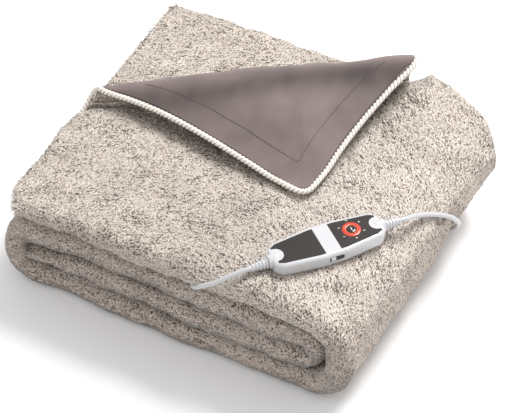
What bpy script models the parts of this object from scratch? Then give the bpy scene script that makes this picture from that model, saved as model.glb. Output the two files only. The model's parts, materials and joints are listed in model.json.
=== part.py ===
"""Electric heated blanket, folded, with one corner turned back and its control unit on top.

The blanket is folded in three like a letter, which gives a strip, and the strip is rolled in
four. The top layer goes over the right-hand end, back along the bottom, up at the left and in
again between the two. The corner of the top sheet that lies at the back left is turned over
towards the front, so that the lining and the piping show.

Frame: +X along the front folds, +Y from the front to the back, +Z up, in metres. The helper
functions work from the front left corner of the top layer, and every object is then moved by
FOOT_CENTRE, which puts the origin on the surface under the middle of the blanket's box.
"""

import math
from collections import namedtuple

import bmesh
import bpy
import numpy as np
from mathutils import Matrix, Vector

FOOT_CENTRE = (0.2373, 0.2089)  # middle of the footprint, from the top layer's front left corner
GAP = 0.0003  # clearance between two pieces that touch
DEPTH = 0.420  # width of the letter-folded strip, front fold to back fold
ROLLED_NARROWING = 0.026  # the strip is this much narrower at the back of the rolled end
FLARE = 0.014  # how far the rolled end leans out at the back
CORD_TUCK = 0.016  # how far the rolled end is drawn in under its middle where the cord goes down
CORD_TUCK_PLACE = (0.235, 0.050, 0.078, 0.035)  # its y and run, its height and run
WRAP_POWER = 2.4  # roundness of the rolled ends: 2 is a true ellipse, more is squarer

# The strip's four layers from the top down: height of the middle, thickness, front setback.
Layer = namedtuple("Layer", "middle thickness setback")
TOP = Layer(0.1305, 0.0360, 0.0000)
SECOND = Layer(0.0915, 0.0350, 0.0020)
THIRD = Layer(0.0530, 0.0320, 0.0035)
BOTTOM = Layer(0.0165, 0.0330, 0.0015)
TOP_END = Layer(0.1275, 0.0250, 0.0000)  # the top layer thins towards its free left end
TOP_TAPER = 0.12  # length of that thinning
LEFT_RISE = 0.007  # the left end is that much fuller at the back

# Rolled ends: x of the centre, half width and thickness of the middle line.
Wrap = namedtuple("Wrap", "centre reach thickness")
OUTER_WRAP = Wrap(0.3980, 0.0520, 0.0320)
LEFT_WRAP = Wrap(0.0415, 0.0330, 0.0310)
INNER_WRAP = Wrap(0.3950, 0.0210, 0.0300)
TOP_START = 0.001
THIRD_END = 0.031

# Back edge of the strip: the free top sheet above a groove, then the fold of the other two.
BackPoint = namedtuple("BackPoint", "inset height")  # height in half thicknesses
BACK_PROFILE = [
    BackPoint(0.0130, 1.00),
    BackPoint(0.0075, 0.93),
    BackPoint(0.0070, 0.55),
    BackPoint(0.0150, 0.38),
    BackPoint(0.0050, 0.20),
    BackPoint(0.0000, -0.15),
    BackPoint(0.0005, -0.50),
    BackPoint(0.0050, -0.85),
    BackPoint(0.0140, -1.00),
]
FRONT_STEPS = 6
FRONT_PART_ROWS = 5
RIDGE_ROWS = [0.050, 0.018, 0.001, -0.020, -0.045]
BACK_PART_ROWS = 2
BOTTOM_ROWS = 6

# The turned-back corner: its fold runs from the left edge to the back edge.
SHEET = 0.0100  # one fur sheet with its lining
LINING = 0.0020
RIDGE_LEFT = (0.000, 0.197)
RIDGE_RIGHT = (0.377, 0.406)
TIP_ALONG = 0.2692  # where the tip lies, along the fold and in front of it
TIP_AHEAD = 0.1888
TIP_RADIUS = 0.013
LEFT_BOW = 0.014  # how far the corner's two edges bow inwards
RIGHT_BOW = 0.0155
EDGE_LIFT = 0.012  # how far they stand off the layer under them between fold and tip
UNDER_GAP = 0.0020  # air between the turned corner and the layer under it
SHEET_DROP = 0.0125  # the layer behind the fold lies one sheet lower
CURL_ANGLES = [-62, -35, -8, 20, 48, 72, 90]
FLAP_ROWS = 9
FLAP_COLUMNS = 17

# The top sheet is pulled up near the back right, where the fold meets the back edge.
HUMP_HEIGHT = 0.035
HUMP_PLACE = (0.366, 0.412)
HUMP_SPREAD = (0.050, 0.062)

PIPING_DIAMETER = 0.0070
PIPING_STEP = 0.0125
PIPING_RISE = (-0.0040, 0.1850, 0.1300)  # where it leaves the layer's end for the turned corner
PIPING_CLEAR = 0.0022  # air between the piping and the sheet's edge

# The control unit, in its own frame: X along it, Y across, Z up, origin under its middle.
UNIT_PLACE = (0.3865, 0.1010, 0.1492)
UNIT_TURN = math.radians(51.5)
UNIT_DIP = math.radians(0.4)
UNIT_LENGTH = 0.1440
UNIT_WIDTH = 0.0525
UNIT_END_WIDTH = 0.0400
UNIT_HEIGHT = 0.0180
UNIT_CORNER = 0.0085
UNIT_EDGE = 0.0040
NECK_RADIUS = 0.0088
NECK_REACH = 0.0035  # how far a neck stands out of the housing's end
NECK_INNER = 0.0560  # where its round inner end begins
PANEL_THICKNESS = 0.0012
PANEL_INNER = 0.0098  # half the bare band between the panels
PANEL_OUTER = 0.0665
PANEL_RIM = 0.0052
NOTCH_RADIUS = 0.0098
DIAL_PLACE = (0.0330, 0.0020)
DIAL_RADIUS = 0.0115
BUTTON_RADIUS = 0.0058
BUTTON_HEIGHT = 0.0022
BUTTON_WELL = 0.0045
SWITCH_PLACE = (-0.0030, 0.0100)  # along the unit, and height
SWITCH_TRAVEL = 0.0100
SWITCH_KNOB = (0.0060, 0.0032, 0.0060)
SWITCH_SLOT = (0.0175, 0.0030, 0.0072)

# Strain reliefs: distance from the housing's end and radius, a turned profile.
RELIEF_PROFILE = [(0.0, 0.0072), (0.007, 0.0066), (0.014, 0.0056), (0.0210, 0.0044)]

CORD_DIAMETER = 0.0060
CORD_STEP = 0.0100
CHANNEL_START = 3  # where the control cord begins to part the layers, in its route
CHANNEL_CLEAR = 0.0008
# Routes from the strain relief's tip. Points chosen by hand: (x, y, z).
CONTROL_ROUTE = [
    (0.3162, 0.0150, 0.1560),
    (0.3070, 0.0078, 0.1515),
    (0.2980, 0.0016, 0.1455),
    (0.2890, -0.0028, 0.1400),
    (0.2790, -0.0052, 0.1338),
    (0.2700, -0.0048, 0.1262),
    (0.2620, 0.0010, 0.1180),
    (0.2550, 0.0120, 0.1122),
    (0.2440, 0.0330, 0.1108),
    (0.2300, 0.0600, 0.1108),
]
MAINS_ROUTE = [
    (0.4538, 0.1971, 0.1490),
    (0.4608, 0.2185, 0.1352),
    (0.4676, 0.2340, 0.1240),
    (0.4746, 0.2490, 0.1115),
    (0.4792, 0.2588, 0.1015),
    (0.4812, 0.2685, 0.0886),
    (0.4808, 0.2791, 0.0742),
    (0.4775, 0.2880, 0.0600),
    (0.4705, 0.2975, 0.0430),
    (0.4615, 0.3080, 0.0270),
    (0.4530, 0.3200, 0.0140),
    (0.4465, 0.3400, 0.0060),
    (0.4435, 0.3700, 0.0036),
    (0.4400, 0.4000, 0.0036),
    (0.4300, 0.4290, 0.0036),
    (0.4050, 0.4490, 0.0036),
    (0.3700, 0.4560, 0.0036),
    (0.3240, 0.4600, 0.0060),
]
COIL_PLACE = (0.2700, 0.4830)
COIL_OUTER = 0.0500
COIL_INNER = 0.0200
COIL_HEIGHT = 0.0240
PLUG_PLACE = (0.1500, 0.4620)
PLUG_TURN = math.radians(180.0)
PLUG_SIZE = (0.0350, 0.0260, 0.0136)
PLUG_ROUTE = [
    (0.2200, 0.4740, 0.0070),
    (0.2050, 0.4660, 0.0068),
]
PIN_LENGTH = 0.0190
PIN_RADIUS = 0.0020
PIN_SPACING = 0.0186

MATERIALS = {
    "fur": ((0.68, 0.62, 0.55), 0.95, 0.0),
    "lining": ((0.25, 0.20, 0.19), 0.85, 0.0),
    "piping": ((0.84, 0.79, 0.72), 0.80, 0.0),
    "white_plastic": ((0.86, 0.86, 0.87), 0.30, 0.0),
    "dark_panel": ((0.035, 0.027, 0.023), 0.35, 0.0),
    "red_lens": ((0.60, 0.03, 0.02), 0.25, 0.0),
    "black_button": ((0.01, 0.01, 0.01), 0.20, 0.0),
    "white_cord": ((0.84, 0.84, 0.84), 0.40, 0.0),
    "pin_metal": ((0.75, 0.73, 0.70), 0.25, 1.0),
}


def clear_scene():
    for obj in list(bpy.data.objects):
        bpy.data.objects.remove(obj, do_unlink=True)


def new_collection(name):
    collection = bpy.data.collections.new(name)
    bpy.context.scene.collection.children.link(collection)
    return collection


def principled(name):
    """Returns the named material, made on first use."""
    if name in bpy.data.materials:
        return bpy.data.materials[name]
    color, roughness, metallic = MATERIALS[name]
    material = bpy.data.materials.new(name)
    material.use_nodes = True
    shader = material.node_tree.nodes["Principled BSDF"]
    shader.inputs["Base Color"].default_value = (*color, 1.0)
    shader.inputs["Roughness"].default_value = roughness
    shader.inputs["Metallic"].default_value = metallic
    return material


def add_object(collection, name, data, material, parent=None):
    """Links data as an object with its own material slot, on the footprint's frame or a parent's."""
    obj = bpy.data.objects.new(name, data)
    collection.objects.link(obj)
    if hasattr(data, "materials"):
        data.materials.clear()
        data.materials.append(principled(material))
    if parent is None:
        obj.location = (-FOOT_CENTRE[0], -FOOT_CENTRE[1], 0.0)
    else:
        obj.parent = parent
    return obj


def smooth(t):
    """Goes from 0 to 1 with level ends while t goes from 0 to 1."""
    t = np.clip(t, 0.0, 1.0)
    return t * t * (3.0 - 2.0 * t)


# ---- the folded strip ------------------------------------------------------------------------


def ridge_axes():
    """Returns the fold's left end, its length and its unit vectors along and ahead (frontward)."""
    start = np.array(RIDGE_LEFT)
    along = np.array(RIDGE_RIGHT) - start
    length = float(np.linalg.norm(along))
    along = along / length
    return start, length, along, np.array([along[1], -along[0]])


def curl_lift(a):
    """How far the fold's top stands above a flat-lying corner, at a along the fold."""
    u = np.clip(a / ridge_axes()[1], 0.0, 1.0)
    return 0.003 + 0.008 * u + 0.026 * np.sin(math.pi * u**1.5)


def curl_radius(a):
    return (SHEET + UNDER_GAP + SHEET_DROP - 0.0005 + curl_lift(a)) / 2.0


def curl_axis_ahead(a):
    """How far ahead of the visible fold line its axis runs."""
    return 0.72 * curl_radius(a)


def top_middle(x):
    u = smooth(x / TOP_TAPER)
    return TOP_END.middle + (TOP.middle - TOP_END.middle) * u


def top_thickness(x):
    u = smooth(x / TOP_TAPER)
    return TOP_END.thickness + (TOP.thickness - TOP_END.thickness) * u


def hump(x, y):
    """How far the top sheet is pulled up at (x, y): at the fold's end, and a little at the left."""
    across = (x - HUMP_PLACE[0]) / HUMP_SPREAD[0]
    back = (y - HUMP_PLACE[1]) / HUMP_SPREAD[1]
    at_left = LEFT_RISE * (1.0 - smooth(x / TOP_TAPER)) * smooth(y / 0.30)
    return HUMP_HEIGHT * np.exp(-0.5 * (across**2 + back**2)) + at_left


def top_surface(x, y):
    """Height of the top layer's upper surface in front of the fold."""
    return top_middle(x) + top_thickness(x) / 2.0 + hump(x, y)


def surface_change(x, y):
    """How far the strip's outer surface stands above its even thickness at (x, y)."""
    start, length, along, ahead = ridge_axes()
    a = (x - start[0]) * along[0] + (y - start[1]) * along[1]
    b = (x - start[0]) * ahead[0] + (y - start[1]) * ahead[1]
    axis = curl_axis_ahead(a)
    past_end = smooth((a - length + 0.012) / 0.016)
    in_front = np.maximum(smooth((b - axis - 0.001) / 0.015), past_end)
    fade = np.maximum(smooth((b - axis + 0.045) / 0.045), past_end)
    return hump(x, y) * fade - SHEET_DROP * (1.0 - in_front)


def rolled_end(wrap, upper, lower, side, steps):
    """Middle line of a rolled end: a superellipse from one layer's height to another's."""
    angles = np.linspace(0.0, math.pi, steps + 2)[1:-1]
    cos, sin = np.cos(angles), np.sin(angles)
    half = (upper - lower) / 2.0
    x = wrap.centre + side * wrap.reach * np.abs(sin) ** (2.0 / WRAP_POWER)
    z = lower + half + half * np.sign(cos) * np.abs(cos) ** (2.0 / WRAP_POWER)
    return x, z


def strip_middle_line():
    """Stations along the roll: x, z, thickness and front setback, from the top layer's left end."""
    stations = []

    def straight(x0, x1, layer, count):
        for x in np.linspace(x0, x1, count):
            middle = top_middle(x) if layer is TOP else layer.middle
            thick = top_thickness(x) if layer is TOP else layer.thickness
            stations.append((x, middle, thick, layer.setback))

    def wrapped(wrap, first, second, side, steps):
        upper, lower = max(first.middle, second.middle), min(first.middle, second.middle)
        x, z = rolled_end(wrap, upper, lower, side, steps)
        if first.middle < second.middle:
            x, z = x[::-1], z[::-1]
        for k in range(steps):
            share = (k + 1) / (steps + 1)
            bulge = math.sin(math.pi * share)
            even = first.thickness + (second.thickness - first.thickness) * share
            setback = first.setback + (second.setback - first.setback) * share
            stations.append((x[k], z[k], even + (wrap.thickness - even) * bulge, setback))

    straight(TOP_START, OUTER_WRAP.centre, TOP, 16)
    wrapped(OUTER_WRAP, TOP, BOTTOM, 1.0, 11)
    straight(OUTER_WRAP.centre, LEFT_WRAP.centre, BOTTOM, 9)
    wrapped(LEFT_WRAP, BOTTOM, SECOND, -1.0, 8)
    straight(LEFT_WRAP.centre, INNER_WRAP.centre, SECOND, 9)
    wrapped(INNER_WRAP, SECOND, THIRD, 1.0, 6)
    straight(INNER_WRAP.centre, THIRD_END, THIRD, 9)
    return np.array(stations)


def outward_normals(line):
    """Unit normals of a line of (x, z) points, to the left of its direction."""
    tangent = np.gradient(line, axis=0)
    tangent /= np.linalg.norm(tangent, axis=1, keepdims=True)
    return np.stack([-tangent[:, 1], tangent[:, 0]], 1)


def front_wave(run):
    """Unevenness of the front folds along the roll."""
    return 0.0016 * np.sin(run * 23.0) + 0.0011 * np.sin(run * 57.0 + 1.3)


def top_rows(x, y_low, y_high):
    """Where the strip's outer side has its rows: closer together along the turned corner's fold."""
    start, _, along, ahead = ridge_axes()
    axis = curl_axis_ahead((x - start[0]) * along[0] + 0.2 * along[1])
    tracked = [start[1] + ((x - start[0]) * ahead[0] - axis - b) / -ahead[1] for b in RIDGE_ROWS]
    count = FRONT_PART_ROWS + len(RIDGE_ROWS) + BACK_PART_ROWS
    first = max(tracked[0], y_low + 0.06)
    rows = list(np.linspace(y_low, first, FRONT_PART_ROWS + 2)[1:-1])
    rows += tracked
    rows += list(np.linspace(tracked[-1], y_high, BACK_PART_ROWS + 2)[1:-1])
    for k in range(count):
        floor = y_low + 0.010 * (k + 1)
        ceiling = y_high - 0.006 * (count - k)
        rows[k] = min(max(rows[k], floor), ceiling)
    return np.array(rows)


def strip_section(x, thickness, y_front, y_back):
    """One closed section of the strip: columns are y and height in half thicknesses."""
    half = thickness / 2.0
    angles = np.radians(np.linspace(-90.0, 90.0, FRONT_STEPS + 1))
    points = [(y_front + half * (1.0 - math.cos(t)), math.sin(t)) for t in angles]
    rows = top_rows(x, y_front + half, y_back - BACK_PROFILE[0].inset)
    points += [(y, 1.0) for y in rows]
    points += [(y_back - p.inset, p.height) for p in BACK_PROFILE]
    low = np.linspace(y_back - BACK_PROFILE[-1].inset, y_front + half, BOTTOM_ROWS + 2)[1:-1]
    points += [(y, -1.0) for y in low]
    return np.array(points)


def flare(x, y):
    """How far the strip leans out to the right at (x, y)."""
    return FLARE * (y / DEPTH) * np.clip(x / OUTER_WRAP.centre, 0.0, 1.2)


def tuck(x, y, z):
    """How far the rolled end is drawn in at (x, y, z)."""
    at_y, run_y, at_z, run_z = CORD_TUCK_PLACE
    at_end = smooth((x - OUTER_WRAP.centre) / OUTER_WRAP.reach)
    return CORD_TUCK * at_end * smooth((y - at_y) / run_y) * smooth((at_z - z) / run_z)


def add_loft(bm, rings, closed_ends=True):
    """Joins rings of points to a closed tube in bm."""
    loops = [[bm.verts.new(p) for p in ring] for ring in rings]
    size = len(loops[0])
    for first, second in zip(loops, loops[1:]):
        for k in range(size):
            j = (k + 1) % size
            bm.faces.new((first[k], first[j], second[j], second[k]))
    if closed_ends:
        bm.faces.new(loops[0][::-1])
        bm.faces.new(loops[-1])


def finish_mesh(bm, name):
    """Turns bm into a triangulated mesh with its faces outwards."""
    bmesh.ops.recalc_face_normals(bm, faces=bm.faces)
    bmesh.ops.triangulate(bm, faces=bm.faces, ngon_method="EAR_CLIP")
    mesh = bpy.data.meshes.new(name)
    bm.to_mesh(mesh)
    bm.free()
    mesh.shade_smooth()
    return mesh


def strip_mesh():
    """The whole rolled strip, as one loft along its middle line."""
    stations = strip_middle_line()
    line = stations[:, :2]
    normals = outward_normals(line)
    run = np.concatenate([[0.0], np.cumsum(np.linalg.norm(np.diff(line, axis=0), axis=1))])
    rings = []
    last = len(stations) - 1
    for k, (x, z, thickness, setback) in enumerate(stations):
        y_front = setback + front_wave(run[k])
        y_back = DEPTH - ROLLED_NARROWING * smooth((run[k] - 0.28) / 0.22)
        section = strip_section(x, thickness, y_front, y_back)
        half = thickness / 2.0
        # The two free ends are rounded by three shrinking sections each.
        from_end = min(k, last - k)
        shrink = (0.45, 0.85, 1.0)[min(from_end, 2)]
        y, height = section[:, 0], section[:, 1] * shrink
        share = (height + 1.0) / 2.0
        x_on_top = np.full_like(y, run[k] + TOP_START)
        lift = surface_change(x_on_top + flare(x_on_top, y), y) * share**2
        on_top = 1.0 - smooth((run[k] - OUTER_WRAP.centre - 0.05) / 0.10)
        reach = height * half + lift * on_top
        px = x + normals[k, 0] * reach
        pz = z + normals[k, 1] * reach
        px = px + flare(px, y)
        px = px - tuck(px, y, pz)
        rings.append(np.stack([px, y, np.maximum(pz, 0.0)], 1))
    # The top layer's pile overhangs its end, so that the piping can lie under it.
    for ring, undercut, rounding in zip(rings, (0.010, 0.007, 0.003), (0.014, 0.010, 0.005)):
        ring[:, 0] += undercut * smooth((TOP_END.middle + 0.004 - ring[:, 2]) / 0.012)
        ring[:, 0] += rounding * (1.0 - smooth(ring[:, 1] / 0.035))
    bm = bmesh.new()
    add_loft(bm, rings)
    return finish_mesh(bm, "strip")


# ---- the turned-back corner ------------------------------------------------------------------


def arch(b, skew):
    """Goes from 0 at the fold over 1 to 0 where the rounding of the tip begins."""
    share = np.clip(b / (TIP_AHEAD - 1.7 * TIP_RADIUS), 0.0, 1.0)
    return np.sin(math.pi * share**skew)


def edge_limits(b, inset):
    """Where the corner's two edges cross a line b ahead of the fold, moved in by inset."""
    length = ridge_axes()[1]
    left_angle = math.atan2(TIP_AHEAD, TIP_ALONG)
    right_angle = math.atan2(TIP_AHEAD, length - TIP_ALONG)
    left = b / math.tan(left_angle) + inset / math.sin(left_angle) + LEFT_BOW * arch(b, 0.6)
    right = length - b / math.tan(right_angle) - inset / math.sin(right_angle)
    return left, right - RIGHT_BOW * arch(b, 0.9)


def tip_circle(inset):
    """Centre (along, ahead) and radius of the rounding at the corner's tip, and its tangents' b."""
    length = ridge_axes()[1]
    left_angle = math.atan2(TIP_AHEAD, TIP_ALONG)
    right_angle = math.atan2(TIP_AHEAD, length - TIP_ALONG)
    radius = TIP_RADIUS - inset
    deep = inset + radius
    # The centre is as far from both edges: solve left + t and right - t lines for one point.
    spread = length - deep / math.sin(left_angle) - deep / math.sin(right_angle)
    b = spread / (1.0 / math.tan(left_angle) + 1.0 / math.tan(right_angle))
    a = b / math.tan(left_angle) + deep / math.sin(left_angle)
    return a, b, radius, left_angle, right_angle


def corner_height(a, b):
    """Height of the turned corner's upper surface, at a along and b ahead of the fold."""
    start, length, along, ahead = ridge_axes()
    x = start[0] + a * along[0] + b * ahead[0]
    y = start[1] + a * along[1] + b * ahead[1]
    axis = curl_axis_ahead(a)
    to_left = a * TIP_AHEAD / TIP_ALONG
    to_right = (length - a) * TIP_AHEAD / (length - TIP_ALONG)
    edge = np.maximum(np.minimum(to_left, to_right), axis + 0.004)
    share = smooth((b - axis) / (edge - axis))
    lift = curl_lift(a) * (1.0 - share) + EDGE_LIFT * arch(b, 0.75)
    return top_surface(x, y) + UNDER_GAP + SHEET + lift


def corner_point(a, b, depth):
    """A point of the flat part of the corner, depth below its upper surface."""
    start, _, along, ahead = ridge_axes()
    place = start + a[..., None] * along + b[..., None] * ahead
    return np.concatenate([place, (corner_height(a, b) - depth)[..., None]], -1)


def curl_point(a, angle, depth):
    """A point of the fold itself, at an angle round its axis: 90 degrees is the top."""
    start, _, along, ahead = ridge_axes()
    axis = curl_axis_ahead(a)
    radius = curl_radius(a)
    top = corner_height(a, axis)
    reach = radius - depth
    b = axis - reach * math.cos(angle)
    place = start + a[..., None] * along + b[..., None] * ahead
    z = top - radius + reach * math.sin(angle)
    return np.concatenate([place, z[..., None]], -1)


def curl_limits(angle, inset):
    """Ends of the fold at an angle round it: the sheet's edges cross it on a slant."""
    low = (math.radians(90.0) - angle) / math.pi
    left_top = max(edge_limits(curl_axis_ahead(0.02), inset)[0], 0.0)
    right_top = edge_limits(curl_axis_ahead(ridge_axes()[1] - 0.02), inset)[1]
    return left_top - 0.020 * low, right_top - 0.004 * low


def corner_grid(depth, inset, first_angle=None):
    """Grid of points over the fold and the flat part, depth below the outer surface."""
    share = np.linspace(0.0, 1.0, FLAP_COLUMNS)
    rows = []
    for degrees in CURL_ANGLES:
        angle = math.radians(degrees)
        left, right = curl_limits(angle, inset)
        rows.append(curl_point(left + share * (right - left), angle, depth))
    tip_a, tip_b, radius, left_angle, right_angle = tip_circle(inset)
    begin = curl_axis_ahead(0.2)
    tangent = tip_b + radius * math.cos(left_angle)
    for b in np.linspace(begin, tangent, FLAP_ROWS + 1)[1:]:
        left, right = edge_limits(b, inset)
        if b > tip_b + radius * math.cos(right_angle):
            right = tip_a + math.sqrt(max(radius**2 - (b - tip_b) ** 2, 0.0))
        a = left + share * (right - left)
        rows.append(corner_point(a, np.full_like(a, b), depth))
    for turn in (0.62, 0.34):
        half = radius * math.sin(turn * left_angle)
        a = tip_a + (2.0 * share - 1.0) * half
        b = np.full_like(a, tip_b + radius * math.cos(turn * left_angle))
        rows.append(corner_point(a, b, depth))
    return np.stack(rows)


def sheet_mesh(outer, inner, name):
    """A closed sheet between two grids of points."""
    bm = bmesh.new()
    rows, columns = outer.shape[:2]
    top = [[bm.verts.new(p) for p in row] for row in outer]
    low = [[bm.verts.new(p) for p in row] for row in inner]
    for i in range(rows - 1):
        for j in range(columns - 1):
            bm.faces.new((top[i][j], top[i + 1][j], top[i + 1][j + 1], top[i][j + 1]))
            bm.faces.new((low[i][j], low[i][j + 1], low[i + 1][j + 1], low[i + 1][j]))
    rim = [(i, 0) for i in range(rows)] + [(rows - 1, j) for j in range(1, columns)]
    rim += [(i, columns - 1) for i in range(rows - 2, -1, -1)]
    rim += [(0, j) for j in range(columns - 2, 0, -1)]
    for (i, j), (p, q) in zip(rim, rim[1:] + rim[:1]):
        bm.faces.new((top[i][j], low[i][j], low[p][q], top[p][q]))
    return finish_mesh(bm, name)


def leg_rows(depth, inset):
    """Three more rows under the fold, where the sheet comes up out of the top layer."""
    share = np.linspace(0.0, 1.0, FLAP_COLUMNS)
    start, _, along, ahead = ridge_axes()
    left, right = curl_limits(math.radians(-90.0), inset)
    a = left + share * (right - left)
    rows = []
    for extra in (0.022, 0.011, 0.0):
        low = curl_point(a, math.radians(-90.0), depth)
        low[:, :2] += extra * ahead
        rows.append(low)
    return rows


def fur_mesh(collection, cutters):
    """The fur cloth: the rolled strip joined with the fur side of the turned corner."""
    strip = add_object(collection, "fur_cloth", strip_mesh(), "fur")
    inset = PIPING_DIAMETER / 2.0 + PIPING_CLEAR
    near, far = LINING + GAP, SHEET
    outer = np.concatenate([leg_rows(near, inset), corner_grid(near, inset)])
    inner = np.concatenate([leg_rows(far, inset), corner_grid(far, inset)])
    corner = add_object(cutters, "corner_fur", sheet_mesh(outer, inner, "corner_fur"), "fur")
    join = strip.modifiers.new("join the corner", "BOOLEAN")
    join.operation = "UNION"
    join.object = corner
    hide_guide(corner)
    # The control cord goes in between two layers, which part for it.
    inside = spline_points(CONTROL_ROUTE[CHANNEL_START:], CORD_STEP)
    inside[-1] += (inside[-1] - inside[-2]) * 0.2
    channel = tube_mesh(inside, CORD_DIAMETER / 2.0 + CHANNEL_CLEAR)
    boolean(strip, add_object(cutters, "cord_channel", channel, "fur"), "DIFFERENCE")


def hide_guide(obj):
    obj.hide_render = True
    obj.display_type = "WIRE"


def lining_mesh():
    inset = PIPING_DIAMETER / 2.0 + PIPING_CLEAR
    return sheet_mesh(corner_grid(0.0, inset), corner_grid(LINING, inset), "lining")


# ---- tubes -----------------------------------------------------------------------------------


def spline_points(route, step):
    """Even points of a smooth curve through the route's points (centripetal Catmull-Rom)."""
    p = np.array(route, float)
    p = np.concatenate([[2 * p[0] - p[1]], p, [2 * p[-1] - p[-2]]])
    fine = []
    for k in range(1, len(p) - 2):
        t = [0.0]
        for i in range(3):
            t.append(t[-1] + max(np.linalg.norm(p[k + i] - p[k + i - 1]), 1e-6) ** 0.5)
        for u in np.linspace(t[1], t[2], 24, endpoint=False):
            a = [((t[i + 1] - u) * p[k - 1 + i] + (u - t[i]) * p[k + i]) / (t[i + 1] - t[i])
                 for i in range(3)]
            b = [((t[i + 2] - u) * a[i] + (u - t[i]) * a[i + 1]) / (t[i + 2] - t[i])
                 for i in range(2)]
            fine.append(((t[2] - u) * b[0] + (u - t[1]) * b[1]) / (t[2] - t[1]))
    fine.append(p[-2])
    fine = np.array(fine)
    run = np.concatenate([[0.0], np.cumsum(np.linalg.norm(np.diff(fine, axis=0), axis=1))])
    even = np.linspace(0.0, run[-1], max(int(round(run[-1] / step)), 2) + 1)
    return np.stack([np.interp(even, run, fine[:, i]) for i in range(3)], 1)


def tube_curve(name, points, diameter, sides=2):
    """A round tube along the points, with closed ends."""
    curve = bpy.data.curves.new(name, "CURVE")
    curve.dimensions = "3D"
    curve.bevel_depth = diameter / 2.0
    curve.bevel_resolution = sides
    curve.use_fill_caps = True
    spline = curve.splines.new("POLY")
    spline.points.add(len(points) - 1)
    spline.points.foreach_set("co", np.column_stack([points, np.ones(len(points))]).ravel())
    return curve


def tube_mesh(points, radius, sides=12):
    """A closed round tube along the points, as a mesh for cutting."""
    points = np.asarray(points, float)
    tangents = np.gradient(points, axis=0)
    tangents /= np.linalg.norm(tangents, axis=1, keepdims=True)
    turns = np.linspace(0.0, 2.0 * math.pi, sides, endpoint=False)
    side = np.cross(tangents[0], (0.0, 0.0, 1.0))
    rings = []
    for point, tangent in zip(points, tangents):
        side = side - tangent * np.dot(side, tangent)
        side /= np.linalg.norm(side)
        up = np.cross(side, tangent)
        rings.append(point + radius * (np.outer(np.cos(turns), side) + np.outer(np.sin(turns), up)))
    bm = bmesh.new()
    add_loft(bm, rings)
    return finish_mesh(bm, "tube")


def piping_route():
    """The piping's line: up the left end, round the corner's two edges and along the back."""
    middle = SHEET / 2.0
    route = []
    for y in np.linspace(0.030, 0.165, 5):
        route.append((0.0005, y, TOP_END.middle - 0.0085))
    route.append(PIPING_RISE)
    for degrees in (-40, 0, 30, 60):
        angle = math.radians(degrees)
        a = np.array([curl_limits(angle, 0.0)[0]])
        route.append(tuple(curl_point(a, angle, middle)[0]))
    tip_a, tip_b, radius, left_angle, right_angle = tip_circle(0.0)
    stop = tip_b + radius * math.cos(left_angle)
    for b in np.linspace(curl_axis_ahead(0.02) + 0.004, stop, 9):
        a = np.array([edge_limits(b, 0.0)[0]])
        route.append(tuple(corner_point(a, np.array([b]), middle)[0]))
    for turn in np.linspace(-left_angle, right_angle, 6)[1:-1]:
        a = np.array([tip_a + radius * math.sin(turn)])
        b = np.array([tip_b + radius * math.cos(turn)])
        route.append(tuple(corner_point(a, b, middle)[0]))
    stop = tip_b + radius * math.cos(right_angle)
    for b in np.linspace(stop, curl_axis_ahead(0.4) + 0.004, 7):
        a = np.array([edge_limits(b, 0.0)[1]])
        route.append(tuple(corner_point(a, np.array([b]), middle)[0]))
    for degrees in (60, 15, -30):
        angle = math.radians(degrees)
        a = np.array([curl_limits(angle, 0.0)[1]])
        route.append(tuple(curl_point(a, angle, middle)[0]))
    return route


def add_cords(collection):
    frame = unit_matrix()
    reach = UNIT_LENGTH / 2.0 + NECK_REACH + RELIEF_PROFILE[-1][0] + 4 * GAP
    height = UNIT_HEIGHT / 2.0
    for name, side, route in (
        ("control_cord", -1.0, CONTROL_ROUTE),
        ("mains_cord", 1.0, MAINS_ROUTE),
    ):
        start = frame @ Vector((side * reach, 0.0, height))
        lead = frame @ Vector((side * (reach + 0.006), 0.0, height - 0.0004))
        points = spline_points([tuple(start), tuple(lead)] + route, CORD_STEP)
        add_object(collection, name, tube_curve(name, points, CORD_DIAMETER), "white_cord")
    points = spline_points(PLUG_ROUTE, 0.008)
    add_object(collection, "plug_cord", tube_curve("plug_cord", points, CORD_DIAMETER), "white_cord")


# ---- the control unit ------------------------------------------------------------------------


def unit_matrix():
    """Places the control unit on the top layer, in the helper functions' frame."""
    turn = Matrix.Rotation(UNIT_TURN, 4, "Z") @ Matrix.Rotation(UNIT_DIP, 4, "Y")
    return Matrix.Translation(UNIT_PLACE) @ turn


def rounded_outline(corners, radius, steps=4):
    """Rounds each corner of an outline of (x, y) points with an arc of the given radius."""
    count = len(corners)
    outline = []
    for k in range(count):
        here = Vector(corners[k])
        before = (Vector(corners[k - 1]) - here).normalized()
        after = (Vector(corners[(k + 1) % count]) - here).normalized()
        half = before.angle(after) / 2.0
        centre = here + (before + after).normalized() * radius / math.sin(half)
        start = here + before * radius / math.tan(half) - centre
        turn = math.pi - 2.0 * half
        sign = 1.0 if before.x * after.y - before.y * after.x < 0.0 else -1.0
        for i in range(steps + 1):
            angle = sign * turn * i / steps
            x = start.x * math.cos(angle) - start.y * math.sin(angle)
            y = start.x * math.sin(angle) + start.y * math.cos(angle)
            outline.append((centre.x + x, centre.y + y))
    return outline


def housing_outline(inset=0.0):
    """The housing seen from above: widest in the middle, with cut-off corners."""
    end = UNIT_LENGTH / 2.0 - inset
    shoulder = end - 0.0085
    wide = UNIT_WIDTH / 2.0 - inset
    narrow = UNIT_END_WIDTH / 2.0 - inset
    nose = narrow - 0.0085
    middle = 0.016
    back = [(end, nose), (shoulder, narrow), (middle, wide)]
    back += [(-x, y) for x, y in back[::-1]]
    return back + [(-x, -y) for x, y in back]


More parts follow.
